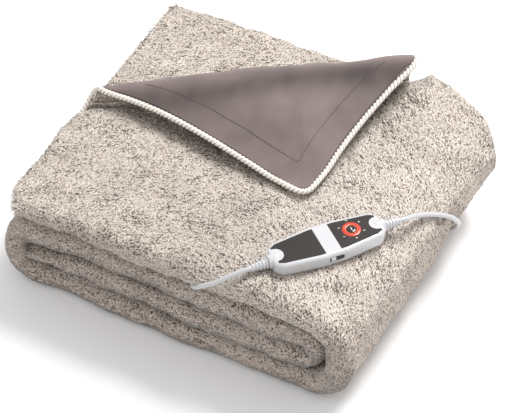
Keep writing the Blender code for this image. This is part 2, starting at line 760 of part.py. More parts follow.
def prism(outline, low, high):
    """A closed prism on an outline, between two heights, as a bmesh."""
    bm = bmesh.new()
    base = [bm.verts.new((x, y, low)) for x, y in outline]
    face = bm.faces.new(base)
    extruded = bmesh.ops.extrude_face_region(bm, geom=[face])
    moved = [v for v in extruded["geom"] if isinstance(v, bmesh.types.BMVert)]
    bmesh.ops.translate(bm, verts=moved, vec=(0.0, 0.0, high - low))
    bmesh.ops.recalc_face_normals(bm, faces=bm.faces)
    return bm


def mesh_of(bm, name):
    mesh = bpy.data.meshes.new(name)
    bm.to_mesh(mesh)
    bm.free()
    mesh.shade_smooth()
    mesh.set_sharp_from_angle(angle=math.radians(35.0))
    return mesh


def panel_outline(side, margin=0.0):
    """One dark panel: straight at the bare band, narrower outwards, with a notch at the neck."""
    inner = PANEL_INNER - margin
    outer = PANEL_OUTER + margin
    wide = UNIT_WIDTH / 2.0 - PANEL_RIM + margin
    narrow = UNIT_END_WIDTH / 2.0 - PANEL_RIM + 0.0012 + margin
    reach = 0.0600
    notch = NOTCH_RADIUS - margin
    centre = NECK_INNER + 0.0095
    outline = [(inner, -wide), (0.016, -wide), (reach, -narrow), (outer, -narrow + 0.0035)]
    mouth = math.acos((outer - centre) / notch)
    for k in range(11):
        angle = -mouth - (2.0 * math.pi - 2.0 * mouth) * k / 10
        outline.append((centre + notch * math.cos(angle), notch * math.sin(angle)))
    outline += [(outer, narrow - 0.0035), (reach, narrow), (0.016, wide), (inner, wide)]
    return [(side * x, y) for x, y in outline]


def cylinder(radius, low, high, place=(0.0, 0.0), segments=32):
    bm = bmesh.new()
    middle = Matrix.Translation((place[0], place[1], (low + high) / 2.0))
    bmesh.ops.create_cone(bm, cap_ends=True, segments=segments, radius1=radius, radius2=radius,
                          depth=high - low, matrix=middle)
    return bm


def boolean(obj, tool, operation):
    modifier = obj.modifiers.new(operation.lower(), "BOOLEAN")
    modifier.operation = operation
    modifier.object = tool
    hide_guide(tool)


def turned(profile, name, segments=20):
    """A solid turned about X from (x, radius) rows."""
    bm = bmesh.new()
    rings = []
    for x, radius in profile:
        angles = [2.0 * math.pi * k / segments for k in range(segments)]
        rings.append([(x, radius * math.cos(t), radius * math.sin(t)) for t in angles])
    add_loft(bm, rings)
    bmesh.ops.recalc_face_normals(bm, faces=bm.faces)
    return mesh_of(bm, name)


def neck_profile():
    """Half a capsule: a round inner end and a straight barrel to just past the housing's end."""
    rows = []
    for k in range(5):
        angle = math.radians(8.0 + 82.0 * k / 4)
        rows.append((NECK_INNER + NECK_RADIUS * (1.0 - math.cos(angle)), NECK_RADIUS * math.sin(angle)))
    rows.append((UNIT_LENGTH / 2.0 + NECK_REACH, NECK_RADIUS * 0.93))
    return rows


def add_unit(collection, cutters):
    """The control unit: housing, panels, dial ring, button, switch and strain reliefs."""
    unit = bpy.data.objects.new("control_unit_frame", None)
    collection.objects.link(unit)
    moved = Matrix.Translation((-FOOT_CENTRE[0], -FOOT_CENTRE[1], 0.0))
    unit.matrix_world = moved @ unit_matrix()

    outline = rounded_outline(housing_outline(), UNIT_CORNER)
    bm = prism(outline, 0.0, UNIT_HEIGHT)
    rims = [e for e in bm.edges if abs(e.verts[0].co.z - e.verts[1].co.z) < 1e-6]
    bmesh.ops.bevel(bm, geom=rims, offset=UNIT_EDGE, segments=3, affect="EDGES", profile=0.5)
    housing = add_object(collection, "housing", mesh_of(bm, "housing"), "white_plastic", unit)

    neck_height = UNIT_HEIGHT / 2.0 + 0.0010
    for side, name in ((-1.0, "left"), (1.0, "right")):
        neck = add_object(cutters, f"neck_{name}", turned(neck_profile(), "neck"), "white_plastic", unit)
        neck.location.z = neck_height
        neck.rotation_euler.z = 0.0 if side > 0 else math.pi
        boolean(housing, neck, "UNION")
    for side, name in ((-1.0, "left"), (1.0, "right")):
        pocket = prism(panel_outline(side, GAP), UNIT_HEIGHT - PANEL_THICKNESS - GAP, UNIT_HEIGHT + 0.01)
        pocket = add_object(cutters, f"pocket_{name}", mesh_of(pocket, "pocket"), "dark_panel", unit)
        boolean(housing, pocket, "DIFFERENCE")
        top = UNIT_HEIGHT
        bm = prism(panel_outline(side), top - PANEL_THICKNESS, top)
        panel = add_object(collection, f"panel_{name}", mesh_of(bm, f"panel_{name}"), "dark_panel", unit)
        if side > 0:
            hole = cylinder(DIAL_RADIUS + GAP, top - 0.01, top + 0.01, DIAL_PLACE)
            hole = add_object(cutters, "dial_hole", mesh_of(hole, "dial_hole"), "dark_panel", unit)
            boolean(panel, hole, "DIFFERENCE")
    well = cylinder(BUTTON_RADIUS + GAP, UNIT_HEIGHT - BUTTON_WELL, UNIT_HEIGHT + 0.01, DIAL_PLACE)
    well = add_object(cutters, "button_well", mesh_of(well, "button_well"), "dark_panel", unit)
    boolean(housing, well, "DIFFERENCE")
    bm = cylinder(DIAL_RADIUS, UNIT_HEIGHT - PANEL_THICKNESS, UNIT_HEIGHT + 0.0002, DIAL_PLACE, 36)
    ring = add_object(collection, "dial_ring", mesh_of(bm, "dial_ring"), "red_lens", unit)
    boolean(ring, well, "DIFFERENCE")

    bm = cylinder(BUTTON_RADIUS, 0.0, BUTTON_HEIGHT, segments=24)
    button = add_object(collection, "centre_button", mesh_of(bm, "centre_button"), "black_button", unit)
    button.location = (*DIAL_PLACE, UNIT_HEIGHT + 0.0006 - BUTTON_HEIGHT)

    wall = -UNIT_WIDTH / 2.0
    length, depth, height = SWITCH_SLOT
    slot = box((length, 2.0 * depth, height))
    slot = add_object(cutters, "switch_slot", mesh_of(slot, "switch_slot"), "dark_panel", unit)
    slot.location = (SWITCH_PLACE[0] + SWITCH_TRAVEL / 2.0, wall, SWITCH_PLACE[1])
    boolean(housing, slot, "DIFFERENCE")
    bm = box(SWITCH_KNOB)
    bmesh.ops.bevel(bm, geom=list(bm.edges), offset=0.0008, segments=2, affect="EDGES", profile=0.5)
    knob = add_object(collection, "side_switch", mesh_of(bm, "side_switch"), "white_plastic", unit)
    knob.location = (SWITCH_PLACE[0], wall - 0.0004, SWITCH_PLACE[1])

    for side, name in ((-1.0, "left"), (1.0, "right")):
        mesh = turned(RELIEF_PROFILE, f"strain_relief_{name}", 16)
        relief = add_object(collection, f"strain_relief_{name}", mesh, "white_plastic", unit)
        relief.location = (side * (UNIT_LENGTH / 2.0 + NECK_REACH + GAP), 0.0, UNIT_HEIGHT / 2.0)
        relief.rotation_euler.z = 0.0 if side > 0 else math.pi


def box(size):
    bm = bmesh.new()
    bmesh.ops.create_cube(bm, size=1.0, matrix=Matrix.Diagonal((*size, 1.0)))
    return bm


# ---- the coil and the plug -------------------------------------------------------------------


def add_coil(collection):
    """The spare mains cord, as one flat ring lying behind the blanket."""
    bm = bmesh.new()
    corners = [(COIL_OUTER, 0.003), (COIL_OUTER, COIL_HEIGHT - 0.004), (COIL_OUTER - 0.005, COIL_HEIGHT),
               (COIL_INNER + 0.004, COIL_HEIGHT), (COIL_INNER, COIL_HEIGHT - 0.004), (COIL_INNER, 0.003),
               (COIL_INNER + 0.003, 0.0), (COIL_OUTER - 0.003, 0.0)]
    steps = 28
    loops = []
    for k in range(steps):
        t = 2.0 * math.pi * k / steps
        loops.append([bm.verts.new((r * math.cos(t), r * math.sin(t), z)) for r, z in corners])
    for first, second in zip(loops, loops[1:] + loops[:1]):
        for k in range(len(corners)):
            j = (k + 1) % len(corners)
            bm.faces.new((first[k], first[j], second[j], second[k]))
    bmesh.ops.recalc_face_normals(bm, faces=bm.faces)
    coil = add_object(collection, "mains_coil", mesh_of(bm, "mains_coil"), "white_cord")
    coil.location.x += COIL_PLACE[0]
    coil.location.y += COIL_PLACE[1]


def add_plug(collection):
    """A flat two-pin plug."""
    length, width, height = PLUG_SIZE
    waist = 0.60
    outline = [(-length / 2, -width * waist / 2), (length * 0.1, -width / 2), (length / 2, -width / 2),
               (length / 2, width / 2), (length * 0.1, width / 2), (-length / 2, width * waist / 2)]
    bm = prism(rounded_outline(outline, 0.0025, 3), 0.0, height)
    rims = [e for e in bm.edges if abs(e.verts[0].co.z - e.verts[1].co.z) < 1e-6]
    bmesh.ops.bevel(bm, geom=rims, offset=0.0020, segments=2, affect="EDGES", profile=0.5)
    turn = Matrix.Rotation(PLUG_TURN, 4, "Z")
    plug = add_object(collection, "plug_body", mesh_of(bm, "plug_body"), "white_plastic")
    plug.matrix_world = Matrix.Translation(plug.location + Vector((*PLUG_PLACE, 0.0))) @ turn
    for k, side in enumerate((-1.0, 1.0)):
        profile = [(0.0, PIN_RADIUS), (PIN_LENGTH - 0.001, PIN_RADIUS), (PIN_LENGTH, PIN_RADIUS * 0.6)]
        pin = add_object(collection, f"plug_pin_{k + 1}", turned(profile, "plug_pin", 12), "pin_metal")
        offset = turn @ Vector((length / 2 + GAP, side * PIN_SPACING / 2, height / 2))
        pin.matrix_world = Matrix.Translation(pin.location + Vector((*PLUG_PLACE, 0.0)) + offset) @ turn


def main():
    clear_scene()
    parts = new_collection("heated_blanket")
    cutters = new_collection("cutters")
    fur_mesh(parts, cutters)
    add_object(parts, "lining", lining_mesh(), "lining")
    piping = spline_points(piping_route(), PIPING_STEP)
    add_object(parts, "piping", tube_curve("piping", piping, PIPING_DIAMETER), "piping")
    add_unit(parts, cutters)
    add_cords(parts)
    add_coil(parts)
    add_plug(parts)


main()
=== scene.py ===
"""Looks of a folded electric heated blanket with its control unit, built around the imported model.

The blanket is a strip, folded in three like a letter and rolled in four.  Its fur is a rippled
ground surface with many small closed tufts on it.  One corner is turned back and shows the
lining, which has a twisted piping round its edge.  A control unit lies on top; one cord goes
in between the layers, and the mains cord runs down the rolled end to a coil behind.

All helper classes work from the front left corner of the top layer, in metres, and
``FOOT_CENTRE`` is taken off when a mesh is made, so every piece lands in the model's frame.
"""

from __future__ import annotations

import json
import logging
import math
from collections.abc import Callable
from dataclasses import dataclass, field
from enum import Enum

import bpy
import numpy as np
from mathutils import Matrix, Vector

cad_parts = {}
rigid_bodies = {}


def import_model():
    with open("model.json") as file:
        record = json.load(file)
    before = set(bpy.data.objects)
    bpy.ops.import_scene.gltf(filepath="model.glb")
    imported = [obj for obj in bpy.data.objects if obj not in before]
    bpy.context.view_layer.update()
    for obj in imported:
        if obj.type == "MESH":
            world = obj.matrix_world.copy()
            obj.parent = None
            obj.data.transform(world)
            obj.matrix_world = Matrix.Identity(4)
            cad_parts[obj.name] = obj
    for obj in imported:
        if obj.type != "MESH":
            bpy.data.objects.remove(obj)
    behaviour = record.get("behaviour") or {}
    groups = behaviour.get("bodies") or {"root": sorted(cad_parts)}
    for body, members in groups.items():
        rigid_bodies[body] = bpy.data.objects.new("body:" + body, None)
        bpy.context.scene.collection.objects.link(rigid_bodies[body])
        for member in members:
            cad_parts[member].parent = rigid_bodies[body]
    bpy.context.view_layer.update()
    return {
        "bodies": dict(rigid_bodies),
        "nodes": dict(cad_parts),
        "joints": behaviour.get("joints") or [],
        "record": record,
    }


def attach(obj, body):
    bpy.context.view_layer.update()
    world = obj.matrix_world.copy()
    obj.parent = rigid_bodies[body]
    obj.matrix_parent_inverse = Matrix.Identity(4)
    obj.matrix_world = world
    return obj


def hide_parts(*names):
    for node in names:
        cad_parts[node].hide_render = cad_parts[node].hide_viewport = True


LOG = logging.getLogger("heated_blanket")
FOOT_CENTRE = np.array([0.2373, 0.2089, 0.0])
TUFTS_A_PIECE = 45000  # keeps a piece of pile well under its share of triangles
DIAL_MARKS = 24
Array = np.ndarray


# ---- small helpers ---------------------------------------------------------------------------


def smooth(t: Array) -> Array:
    """Goes from 0 to 1 with level ends while t goes from 0 to 1 (3t^2 - 2t^3)."""
    t = np.clip(t, 0.0, 1.0)
    return t * t * (3.0 - 2.0 * t)


def squared_off(wave: Array, power: float) -> Array:
    """Bends a cosine or sine towards a square one: its sign times its size to a power below 1."""
    return np.sign(wave) * np.abs(wave) ** power


def unit(vectors: Array) -> Array:
    """Scales each vector to length 1."""
    return vectors / np.maximum(np.linalg.norm(vectors, axis=-1, keepdims=True), 1e-12)


def soft_noise(points: Array, size: float, seed: int, waves: int = 10) -> Array:
    """Sums plane waves of about one size, each with its own direction and phase.

    Args:
        points: places, (..., 3), in metres.
        size: typical wave length in metres.
        seed: chooses directions and phases.
        waves: how many waves are summed.

    Returns:
        Values of about -1 to 1, with a spread near 0.5.
    """
    rng = np.random.default_rng(seed)
    way = unit(rng.normal(size=(waves, 3)))
    turn = way * (2.0 * math.pi / size * rng.uniform(0.6, 1.6, waves))[:, None]
    phase = rng.uniform(0.0, 2.0 * math.pi, waves)
    return np.sin(points @ turn.T + phase).sum(-1) / math.sqrt(2.0 * waves)


def streak_noise(points: Array, along: Array, long: float, thin: float, seed: int, waves: int = 16) -> Array:
    """Sums plane waves that are long in one direction and short across it, so they look like streaks.

    Args:
        points: places, (..., 3), in metres.
        along: unit vector of the streaks.
        long: typical length of a streak.
        thin: typical width of a streak.
        seed: chooses directions and phases.
        waves: how many waves are summed.

    Returns:
        Values of about -1 to 1, with a spread near 0.5.
    """
    rng = np.random.default_rng(seed)
    along = unit(np.asarray(along, float))
    across = unit(np.cross(along, rng.normal(size=(waves, 3))))
    turn = across * (2.0 * math.pi / thin * rng.uniform(0.45, 1.2, waves))[:, None]
    turn = turn + along * (2.0 * math.pi / long * rng.normal(0.0, 0.9, waves))[:, None]
    phase = rng.uniform(0.0, 2.0 * math.pi, waves)
    return np.sin(points @ turn.T + phase).sum(-1) / math.sqrt(2.0 * waves)


def spline_through(route: Array, step: float) -> Array:
    """Even points on a centripetal Catmull-Rom curve through the route's points.

    Args:
        route: (n, 3) points that the curve passes through.
        step: distance between the points returned.

    Returns:
        (m, 3) points.
    """
    p = np.asarray(route, float)
    p = np.concatenate([[2 * p[0] - p[1]], p, [2 * p[-1] - p[-2]]])
    fine = []
    for k in range(1, len(p) - 2):
        knots = np.maximum(np.linalg.norm(np.diff(p[k - 1 : k + 3], axis=0), axis=1), 1e-6) ** 0.5
        t = np.concatenate([[0.0], np.cumsum(knots)])
        u = np.linspace(t[1], t[2], 24, endpoint=False)[:, None]
        a = [((t[i + 1] - u) * p[k - 1 + i] + (u - t[i]) * p[k + i]) / (t[i + 1] - t[i]) for i in range(3)]
        b = [((t[i + 2] - u) * a[i] + (u - t[i]) * a[i + 1]) / (t[i + 2] - t[i]) for i in range(2)]
        fine.append(((t[2] - u) * b[0] + (u - t[1]) * b[1]) / (t[2] - t[1]))
    return even_points(np.concatenate(fine + [p[-2:-1]]), step)


def even_points(line: Array, step: float) -> Array:
    """Spaces the points of a line evenly, about step apart."""
    run = np.concatenate([[0.0], np.cumsum(np.linalg.norm(np.diff(line, axis=0), axis=1))])
    at = np.linspace(0.0, run[-1], max(int(round(run[-1] / step)), 2) + 1)
    return np.stack([np.interp(at, run, line[:, i]) for i in range(3)], 1)


def line_length(line: Array) -> float:
    """Length of a line of points."""
    return float(np.linalg.norm(np.diff(line, axis=0), axis=1).sum())


def grid_faces(rows: int, columns: int, closed_rows: bool = False, closed_columns: bool = False) -> Array:
    """Quads of a grid of rows x columns points, numbered row by row."""
    i = np.arange(rows if closed_rows else rows - 1)[:, None]
    j = np.arange(columns if closed_columns else columns - 1)[None, :]
    i2, j2 = (i + 1) % rows, (j + 1) % columns
    corners = (i * columns + j, i2 * columns + j, i2 * columns + j2, i * columns + j2)
    quads = np.stack(np.broadcast_arrays(*corners), -1)
    return quads.reshape(-1, 4)


def grid_normals(grid: Array) -> Array:
    """Unit normals of a grid of points: the cross product of its two directions of travel."""
    return unit(np.cross(np.gradient(grid, axis=0), np.gradient(grid, axis=1)))


def new_piece(name: str, points: Array, faces: list | Array, material: bpy.types.Material,
              frame: Matrix | None = None, flat: bool = False) -> bpy.types.Object:
    """Makes a mesh object at the origin, with its place in its mesh.

    Args:
        name: the piece's name.
        points: (n, 3) points, from the top layer's front left corner, or in frame's own space.
        faces: vertex numbers of each face.
        material: the piece's finish.
        frame: matrix that takes the points to the blanket's corner, or None.
        flat: whether the faces keep hard edges.

    Returns:
        The new object.
    """
    points = np.asarray(points, float).reshape(-1, 3)
    if frame is not None:
        turn = np.array(frame)
        points = points @ turn[:3, :3].T + turn[:3, 3]
    mesh = bpy.data.meshes.new(name)
    faces = faces.tolist() if isinstance(faces, np.ndarray) else faces
    mesh.from_pydata((points - FOOT_CENTRE).tolist(), [], faces)
    mesh.validate()
    mesh.update()
    if not flat:
        mesh.shade_smooth()
    mesh.materials.append(material)
    obj = bpy.data.objects.new(name, mesh)
    bpy.context.scene.collection.objects.link(obj)
    return obj


def face_outwards(obj: bpy.types.Object) -> None:
    """Turns a closed mesh the right way round, by the sign of its volume (sum of corner products)."""
    mesh = obj.data
    mesh.calc_loop_triangles()
    count = len(mesh.loop_triangles)
    corners = np.empty(count * 3, np.int32)
    mesh.loop_triangles.foreach_get("vertices", corners)
    places = np.empty(len(mesh.vertices) * 3)
    mesh.vertices.foreach_get("co", places)
    tri = places.reshape(-1, 3)[corners.reshape(-1, 3)]
    tri = tri - places.reshape(-1, 3).mean(0)
    volume = np.einsum("ij,ij->i", tri[:, 0], np.cross(tri[:, 1], tri[:, 2])).sum()
    if volume < 0.0:
        mesh.flip_normals()


def paint(obj: bpy.types.Object, colour: Array) -> None:
    """Writes one colour, with alpha, to each vertex of a piece."""
    tone = obj.data.color_attributes.new("tone", "FLOAT_COLOR", "POINT")
    tone.data.foreach_set("color", np.asarray(colour, np.float32).ravel())


def tube_frames(line: Array) -> tuple[Array, Array]:
    """Two unit vectors across a line at each point, from one fixed direction least along the line."""
    tangent = unit(np.gradient(line, axis=0))
    choices = unit(np.array([(0, 0, 1.0), (0, 1.0, 0), (1.0, 0, 0),
                             (1, 1, 1), (1, -1, 1), (-1, 1, 1), (1, 1, -1)]))
    best = choices[np.argmin(np.abs(tangent @ choices.T).max(0))]
    side = unit(np.cross(tangent, best))
    return side, np.cross(side, tangent)


def tube_grid(line: Array, radius: Array, sides: int) -> Array:
    """Rings round a line: point + radius * (side * cos + up * sin).

    Args:
        line: (n, 3) centre points.
        radius: one radius, or (n, sides) radii.
        sides: points in each ring.

    Returns:
        (n, sides, 3) points.
    """
    side, up = tube_frames(line)
    turn = np.linspace(0.0, 2.0 * math.pi, sides, endpoint=False)
    across = side[:, None] * np.cos(turn)[:, None] + up[:, None] * np.sin(turn)[:, None]
    return line[:, None] + across * np.broadcast_to(np.asarray(radius, float), (len(line), sides))[..., None]


def capped_faces(rows: int, columns: int) -> list:
    """Quads round a tube of rings, with one face over each end."""
    faces = grid_faces(rows, columns, closed_columns=True).tolist()
    faces.append(list(range(columns)))
    faces.append(list(range((rows - 1) * columns, rows * columns))[::-1])
    return faces


def tube_piece(name: str, line: Array, radius: Array, sides: int, material: bpy.types.Material,
               frame: Matrix | None = None) -> bpy.types.Object:
    """A closed round tube along a line."""
    grid = tube_grid(line, radius, sides)
    obj = new_piece(name, grid, capped_faces(len(line), sides), material, frame)
    face_outwards(obj)
    return obj


def at_height(outline: Array, height: float) -> Array:
    """A flat outline's points, lifted to a height."""
    return np.column_stack([outline, np.full(len(outline), height)])


def turned_grid(profile: Array, turn: Array) -> Array:
    """Points of rows of (x, radius) turned about the X axis by each angle."""
    across, up = profile[:, 1:] * np.cos(turn), profile[:, 1:] * np.sin(turn)
    return np.stack(np.broadcast_arrays(profile[:, :1], across, up), -1)


def turned_piece(name: str, profile: Array, sides: int, material: bpy.types.Material,
                 frame: Matrix) -> bpy.types.Object:
    """A solid turned about the frame's X axis from rows of (x, radius)."""
    profile = np.asarray(profile, float)
    turn = np.linspace(0.0, 2.0 * math.pi, sides, endpoint=False)
    grid = turned_grid(profile, turn)
    obj = new_piece(name, grid, capped_faces(len(profile), sides), material, frame)
    face_outwards(obj)
    return obj


# ---- finishes --------------------------------------------------------------------------------


@dataclass(frozen=True)
class Finish:
    """A procedural finish: a colour varied by noise at two sizes, with a fine bump.

    Attributes:
        name: the material's name.
        colour: its middle colour.
        spread: how far noise takes the colour lighter and darker, as a share.
        grain: size of the fine noise, in waves per metre.
        cloud: size of the broad noise, in waves per metre.
        bump: height of the fine bump, in metres.
        roughness: how dull the surface is.
        sheen: strength of the soft edge light of cloth.
        coat: strength of a clear gloss layer.
        metallic: 1 for metal.
        glow: strength of its own light.
        attribute: colour attribute that replaces the middle colour, or none.
        dark: colour of dark flecks, or none.
        dark_share: how much of the surface the flecks take, as a share.
        stretch: how the noise is stretched along each axis.
        specular: strength of the surface's plain reflections.
    """

    name: str
    colour: tuple[float, float, float]
    spread: float = 0.06
    grain: float = 900.0
    cloud: float = 40.0
    bump: float = 0.0001
    roughness: float = 0.5
    sheen: float = 0.0
    coat: float = 0.0
    metallic: float = 0.0
    glow: float = 0.0
    attribute: str = ""
    dark: tuple[float, float, float] | None = None
    dark_share: float = 0.5
    stretch: tuple[float, float, float] = (1.0, 1.0, 1.0)
    specular: float = 0.5

    def make(self) -> bpy.types.Material:
        """Makes the material, or returns it if it is there already."""
        if self.name in bpy.data.materials:
            return bpy.data.materials[self.name]
        material = bpy.data.materials.new(self.name)
        material.use_nodes = True
        tree = material.node_tree
        nodes, links = tree.nodes, tree.links
        shader = nodes["Principled BSDF"]
        shader.inputs["Roughness"].default_value = self.roughness
        shader.inputs["Metallic"].default_value = self.metallic
        shader.inputs["Specular IOR Level"].default_value = self.specular
        shader.inputs["Sheen Weight"].default_value = self.sheen
        shader.inputs["Sheen Roughness"].default_value = 0.4
        shader.inputs["Coat Weight"].default_value = self.coat
        shader.inputs["Coat Roughness"].default_value = 0.08
        if self.glow:
            shader.inputs["Emission Color"].default_value = (*self.colour, 1.0)
            shader.inputs["Emission Strength"].default_value = self.glow
        place = nodes.new("ShaderNodeTexCoord")
        mapping = nodes.new("ShaderNodeMapping")
        mapping.inputs["Scale"].default_value = self.stretch
        links.new(place.outputs["Object"], mapping.inputs["Vector"])
        fine = self._noise(tree, mapping, self.grain, 3.0)
        broad = self._noise(tree, mapping, self.cloud, 2.0)
        both = nodes.new("ShaderNodeMath")
        both.operation = "ADD"
        links.new(fine.outputs["Fac"], both.inputs[0])
        links.new(broad.outputs["Fac"], both.inputs[1])
        shade = nodes.new("ShaderNodeMapRange")
        shade.inputs["From Min"].default_value = 0.6
        shade.inputs["From Max"].default_value = 1.4
        shade.inputs["To Min"].default_value = 1.0 - self.spread
        shade.inputs["To Max"].default_value = 1.0 + self.spread
        links.new(both.outputs["Value"], shade.inputs["Value"])
        scale = nodes.new("ShaderNodeVectorMath")
        scale.operation = "SCALE"
        links.new(shade.outputs["Result"], scale.inputs["Scale"])
        if self.attribute:
            tone = nodes.new("ShaderNodeAttribute")
            tone.attribute_name = self.attribute
            links.new(tone.outputs["Color"], scale.inputs["Vector"])
        elif self.dark is not None:
            ramp = nodes.new("ShaderNodeValToRGB")
            middle = 0.60 - 0.25 * self.dark_share
            ramp.color_ramp.elements[0].position = middle - 0.05
            ramp.color_ramp.elements[1].position = middle + 0.05
            ramp.color_ramp.elements[0].color = (*self.dark, 1.0)
            ramp.color_ramp.elements[1].color = (*self.colour, 1.0)
            links.new(fine.outputs["Fac"], ramp.inputs["Fac"])
            links.new(ramp.outputs["Color"], scale.inputs["Vector"])
        else:
            scale.inputs["Vector"].default_value = self.colour
        links.new(scale.outputs["Vector"], shader.inputs["Base Color"])
        bump = nodes.new("ShaderNodeBump")
        bump.inputs["Strength"].default_value = 1.0
        bump.inputs["Distance"].default_value = self.bump
        links.new(fine.outputs["Fac"], bump.inputs["Height"])
        links.new(bump.outputs["Normal"], shader.inputs["Normal"])
        return material

    @staticmethod
    def _noise(tree: bpy.types.NodeTree, mapping: bpy.types.Node, scale: float,
               detail: float) -> bpy.types.Node:
        """Adds a noise texture on the mapped place."""
        noise = tree.nodes.new("ShaderNodeTexNoise")
        noise.inputs["Scale"].default_value = scale
        noise.inputs["Detail"].default_value = detail
        tree.links.new(mapping.outputs["Vector"], noise.inputs["Vector"])
        return noise


GROUND = Finish("fur_ground", (0.50, 0.43, 0.37), 0.20, 420.0, 30.0, 0.0012, 0.95, 0.15,
                dark=(0.16, 0.12, 0.10), dark_share=0.5)
TUFT = Finish("fur_tuft", (0.8, 0.75, 0.68), 0.10, 600.0, 45.0, 0.0003, 0.85, 0.25, attribute="tone")
LINING = Finish("lining_velvet", (0.152, 0.117, 0.110), 0.10, 1500.0, 26.0, 0.00025, 0.90, 0.12,
                attribute="tone")
LINING_THREAD = Finish("lining_thread", (0.085, 0.062, 0.058), 0.10, 2500.0, 60.0, 0.0001, 0.80, 0.10)
PIPING = Finish("piping_cord", (0.82, 0.76, 0.68), 0.10, 1600.0, 80.0, 0.0003, 0.80, 0.10, attribute="tone")
WHITE = Finish("gloss_white", (0.54, 0.54, 0.555), 0.015, 1200.0, 30.0, 0.000015, 0.22, 0.0, 0.5)
PANEL = Finish("panel_brown", (0.016, 0.011, 0.009), 0.15, 2600.0, 60.0, 0.00004, 0.45,
               specular=0.30)
RED = Finish("lens_red", (0.46, 0.014, 0.009), 0.20, 900.0, 200.0, 0.00005, 0.30, 0.0, 0.3, glow=0.15)
ORANGE = Finish("light_orange", (0.70, 0.22, 0.04), 0.10, 900.0, 200.0, 0.00002, 0.30, glow=0.35)
MARK = Finish("white_mark", (0.85, 0.80, 0.74), 0.05, 900.0, 200.0, 0.00002, 0.40, glow=0.15)
BUTTON = Finish("button_gloss", (0.010, 0.010, 0.011), 0.20, 900.0, 100.0, 0.00002, 0.12, 0.0, 0.8)
SLOT = Finish("slot_shadow", (0.04, 0.04, 0.045), 0.20, 900.0, 100.0, 0.00005, 0.60)
CORD = Finish("cord_jacket", (0.50, 0.50, 0.51), 0.03, 700.0, 25.0, 0.00006, 0.38, 0.0, 0.15)
METAL = Finish("metal_pins", (0.78, 0.76, 0.72), 0.05, 2000.0, 90.0, 0.00002, 0.22, metallic=1.0)
FLOOR = Finish("floor_paint", (0.88, 0.88, 0.885), 0.004, 60.0, 2.0, 0.00005, 0.75)


# ---- the blanket's form ----------------------------------------------------------------------


@dataclass(frozen=True)
class Layer:
    """One layer of the roll: height of its middle, thickness and front setback."""

    middle: float
    thickness: float
    setback: float


@dataclass(frozen=True)
class Wrap:
    """A rolled end: x of its centre, half width and thickness of its middle line."""

    centre: float
    reach: float
    thickness: float


